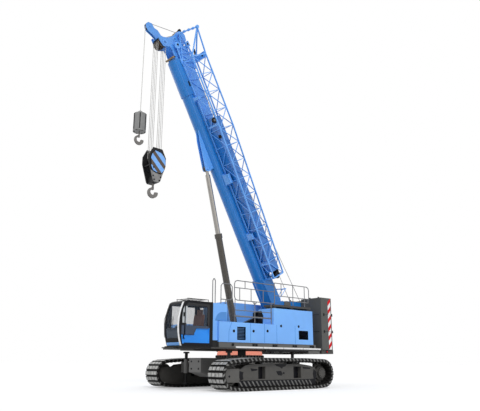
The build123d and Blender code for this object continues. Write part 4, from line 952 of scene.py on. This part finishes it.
# %% Track pads, edges and teeth
track_middle = 1.975
shoe_half = 0.40
shoe_count = 64
edge_thick = 0.004
pad_lanes = ((-0.385, -0.215), (-0.185, -0.02), (0.02, 0.185), (0.215, 0.385))
pad_foot, pad_face, ground_gap = 0.054, 0.061, 0.04
tooth_y, tooth_width = 0.25, 0.12
wheel_steps = 24
wheels = ((2.340, 0.540, 0.445), (1.330, 0.890, 0.165), (-1.330, 0.890, 0.165),
          (-2.350, 0.560, 0.465), (-1.850, 0.260, 0.205), (1.850, 0.260, 0.205))


def belt_path():
    """Places along the pin line, close enough together to measure."""
    angles = []
    for here, after in zip(wheels, wheels[1:] + wheels[:1]):
        across, rise = after[0] - here[0], after[1] - here[1]
        span = math.hypot(across, rise)
        angles.append(math.atan2(rise, across) - math.pi / 2 + math.asin((here[2] - after[2]) / span))
    places = []
    for index, (x, z, radius) in enumerate(wheels):
        enter = angles[index - 1]
        swing = (angles[index] - enter) % math.tau
        for step in range(wheel_steps + 1):
            angle = enter + swing * step / wheel_steps
            places.append((x + radius * math.cos(angle), z + radius * math.sin(angle)))
    return places + places[:1]


def belt_pins(count):
    """Equal steps along the belt."""
    places = belt_path()
    lengths = [math.dist(a, b) for a, b in zip(places, places[1:])]
    pitch = sum(lengths) / count
    pins, travelled, due = [], 0.0, 0.0
    for a, b, length in zip(places, places[1:], lengths):
        while len(pins) < count and due <= travelled + length:
            share = (due - travelled) / length if length else 0.0
            pins.append((a[0] + (b[0] - a[0]) * share, a[1] + (b[1] - a[1]) * share))
            due += pitch
        travelled += length
    return pins


pins = belt_pins(shoe_count)
shoes = {name: Kit("track_" + name) for name in ("pads", "edges", "teeth")}
for a, b in zip(pins, pins[1:] + pins[:1]):
    pitch = math.dist(a, b)
    along = ((b[0] - a[0]) / pitch, (b[1] - a[1]) / pitch)
    out = (along[1], -along[0])

    def spot(share, rise):
        """A place at a share of the step along the belt, and a rise out of it."""
        step = pitch * share
        return (a[0] + along[0] * step + out[0] * rise, a[1] + along[1] * step + out[1] * rise)

    clear_of_ground = spot(0.5, 0.055)[1] > ground_gap
    for side in (-1, 1):
        middle = side * track_middle
        # Pads are painted pale: a painted highlight on the lit faces of the shoes.
        if clear_of_ground:
            face = [spot(0.17, pad_foot), spot(0.83, pad_foot), spot(0.83, pad_face), spot(0.17, pad_face)]
            for low, high in pad_lanes:
                shoes["pads"].plate([(x, middle + low, z) for x, z in face], (0, high - low, 0))
        edge = [spot(0.46, -0.050), spot(0.84, -0.050), spot(0.50, 0.047), spot(0.12, 0.047)]
        shoes["edges"].plate([(x, middle + side * shoe_half, z) for x, z in edge], (0, side * edge_thick, 0))
        # The pale plate on each inner end is a painted highlight on the lit shoe end.
        inner_end = [spot(0.30, 0.005), spot(0.66, 0.005), spot(0.66, 0.040), spot(0.30, 0.040)]
        shoes["edges"].plate([(x, middle - side * shoe_half, z) for x, z in inner_end],
                             (0, -side * edge_thick, 0))
        tooth = [spot(0.30, -0.055), spot(0.70, -0.055), spot(0.60, -0.105), spot(0.40, -0.105)]
        shoes["teeth"].plate([(x, middle + side * tooth_y, z) for x, z in tooth], (0, side * tooth_width, 0))
shoes["pads"].done("undercarriage", "pad_highlight")
shoes["edges"].done("undercarriage", "edge_wear_and_highlight")
shoes["teeth"].done("undercarriage", "track_steel")

# %% [markdown]
# The track frames carry a pale cap over the idler's bearing, recesses and window openings filled with
# black sheets that are painted shade, bolts and guards that hide the rollers. The guard's face has slanting
# bars at the pitch of the shoes. The carbody's nose plates have four bolts each, and a ring of bolts holds
# the slewing ring.

# %% Undercarriage trim
frame_outer, frame_inner = 2.19, 1.76
caps = Kit("idler_caps")
bars = Kit("guard_bars")
# The black plates of this kit in the frame's recesses and windows are painted shade.
trim = Kit("frame_shade_and_guards")
covers = Kit("inner_covers")
bolts = Kit("undercarriage_bolts")
cap_thick = 0.016
cap_outline = ((2.57, 0.70), (2.50, 0.735), (1.95, 0.75), (1.96, 0.29), (2.50, 0.30), (2.58, 0.36),
               (2.61, 0.50))
recesses = (
    ((1.935, 0.665), (1.75, 0.635), (1.78, 0.52), (1.75, 0.395), (1.89, 0.354), (1.94, 0.45)),
    ((1.42, 0.755), (1.07, 0.722), (1.12, 0.68), (1.37, 0.655)),
    ((0.23, 0.897), (-0.40, 0.896), (-0.33, 0.82), (-0.20, 0.79), (-0.14, 0.735), (-0.02, 0.80),
     (0.14, 0.83)),
    ((0.16, 0.645), (-0.10, 0.66), (-0.18, 0.55), (-0.12, 0.49), (0.06, 0.51)),
    ((-0.20, 0.62), (-0.28, 0.60), (-0.27, 0.54), (-0.20, 0.55)),
    ((-1.26, 0.798), (-1.71, 0.764), (-1.68, 0.715), (-1.30, 0.735)),
    ((-1.90, 0.72), (-2.06, 0.60), (-2.02, 0.36), (-1.88, 0.36), (-1.84, 0.55)),
)
window_insides = ((0.70, 1.05), (-1.17, -0.76))
guard_top, guard_low, guard_reach = 0.352, 0.085, 1.98
guard_faces = (frame_outer + 0.001, frame_outer + 0.008)
idler_x, idler_z, idler_cover = 2.34, 0.54, 0.36
bar_count, bar_pitch, bar_top = 19, 0.197, guard_top - 0.03
sprocket_x, sprocket_z, bolt_circle, sprocket_bolts = -2.35, 0.56, 0.15, 10
ring_bolts, ring_circle = 40, 0.948
sleeve_half = 0.085
for side in (-1, 1):
    caps.plate([(x, side * frame_outer, z) for x, z in cap_outline], (0, side * cap_thick, 0))
    trim.disc((2.40, side * (frame_outer + cap_thick), 0.495), (0, side, 0), 0.036, 0.006)
    for outline in recesses:
        trim.plate([(x, side * frame_outer, z) for x, z in outline], (0, side * edge_thick, 0))
    for low, high in window_insides:
        trim.flank(side, (low + 0.004, high - 0.004), (2.02, 2.03), (0.394, 0.806))
    trim.flank(side, (-guard_reach, guard_reach), guard_faces, (guard_low, guard_top))
    covers.flank(side, (-2.05, 1.50), (frame_inner - 0.010, frame_inner - 0.001), (guard_low, 0.42))
    inner_cover = [(idler_x + idler_cover * math.cos(angle), idler_z + idler_cover * math.sin(angle))
                   for angle in [math.radians(-90 + 127 * step / 12) for step in range(13)]]
    inner_cover += [(1.95, 0.79), (1.52, 0.90), (1.46, 0.12), (1.90, 0.12)]
    covers.plate([(x, side * (frame_inner - 0.020), z) for x, z in inner_cover], (0, side * 0.010, 0))
    for index in range(bar_count):
        x = 1.72 - index * bar_pitch
        bar = [(x, guard_low), (x + 0.07, guard_low), (x + 0.25, bar_top), (x + 0.18, bar_top)]
        bars.plate([(bx, side * guard_faces[1], z) for bx, z in bar], (0, side * edge_thick, 0))
    for index in range(sprocket_bolts):
        angle = math.tau * index / sprocket_bolts
        x, z = sprocket_x + bolt_circle * math.cos(angle), sprocket_z + bolt_circle * math.sin(angle)
        bolts.disc((x, side * 2.23, z), (0, side, 0), 0.016, 0.010, 6)
    for y in (-0.22, 0.22):
        for z in (0.72, 0.98):
            bolts.disc((side * 2.20, y, z), (side, 0, 0), 0.036, 0.012, 12)
for index in range(ring_bolts):
    angle = math.tau * (index + 0.5) / ring_bolts
    x, y = ring_circle * math.cos(angle), ring_circle * math.sin(angle)
    bolts.rod((x, y, 1.13), (x, y, 1.205), 0.017, 8)
for x in (-1.66, 1.66):
    for y in (-1.3, 1.3):
        bolts.slab((x - sleeve_half, y - sleeve_half, 1.285), (x + sleeve_half, y + sleeve_half, 1.345))
caps.done("undercarriage", "frame_worn")
bars.done("undercarriage", "edge_wear_and_highlight")
trim.done("undercarriage", "trim_black")
covers.done("undercarriage", "frame_dark")
bolts.done("undercarriage", "trim_black")
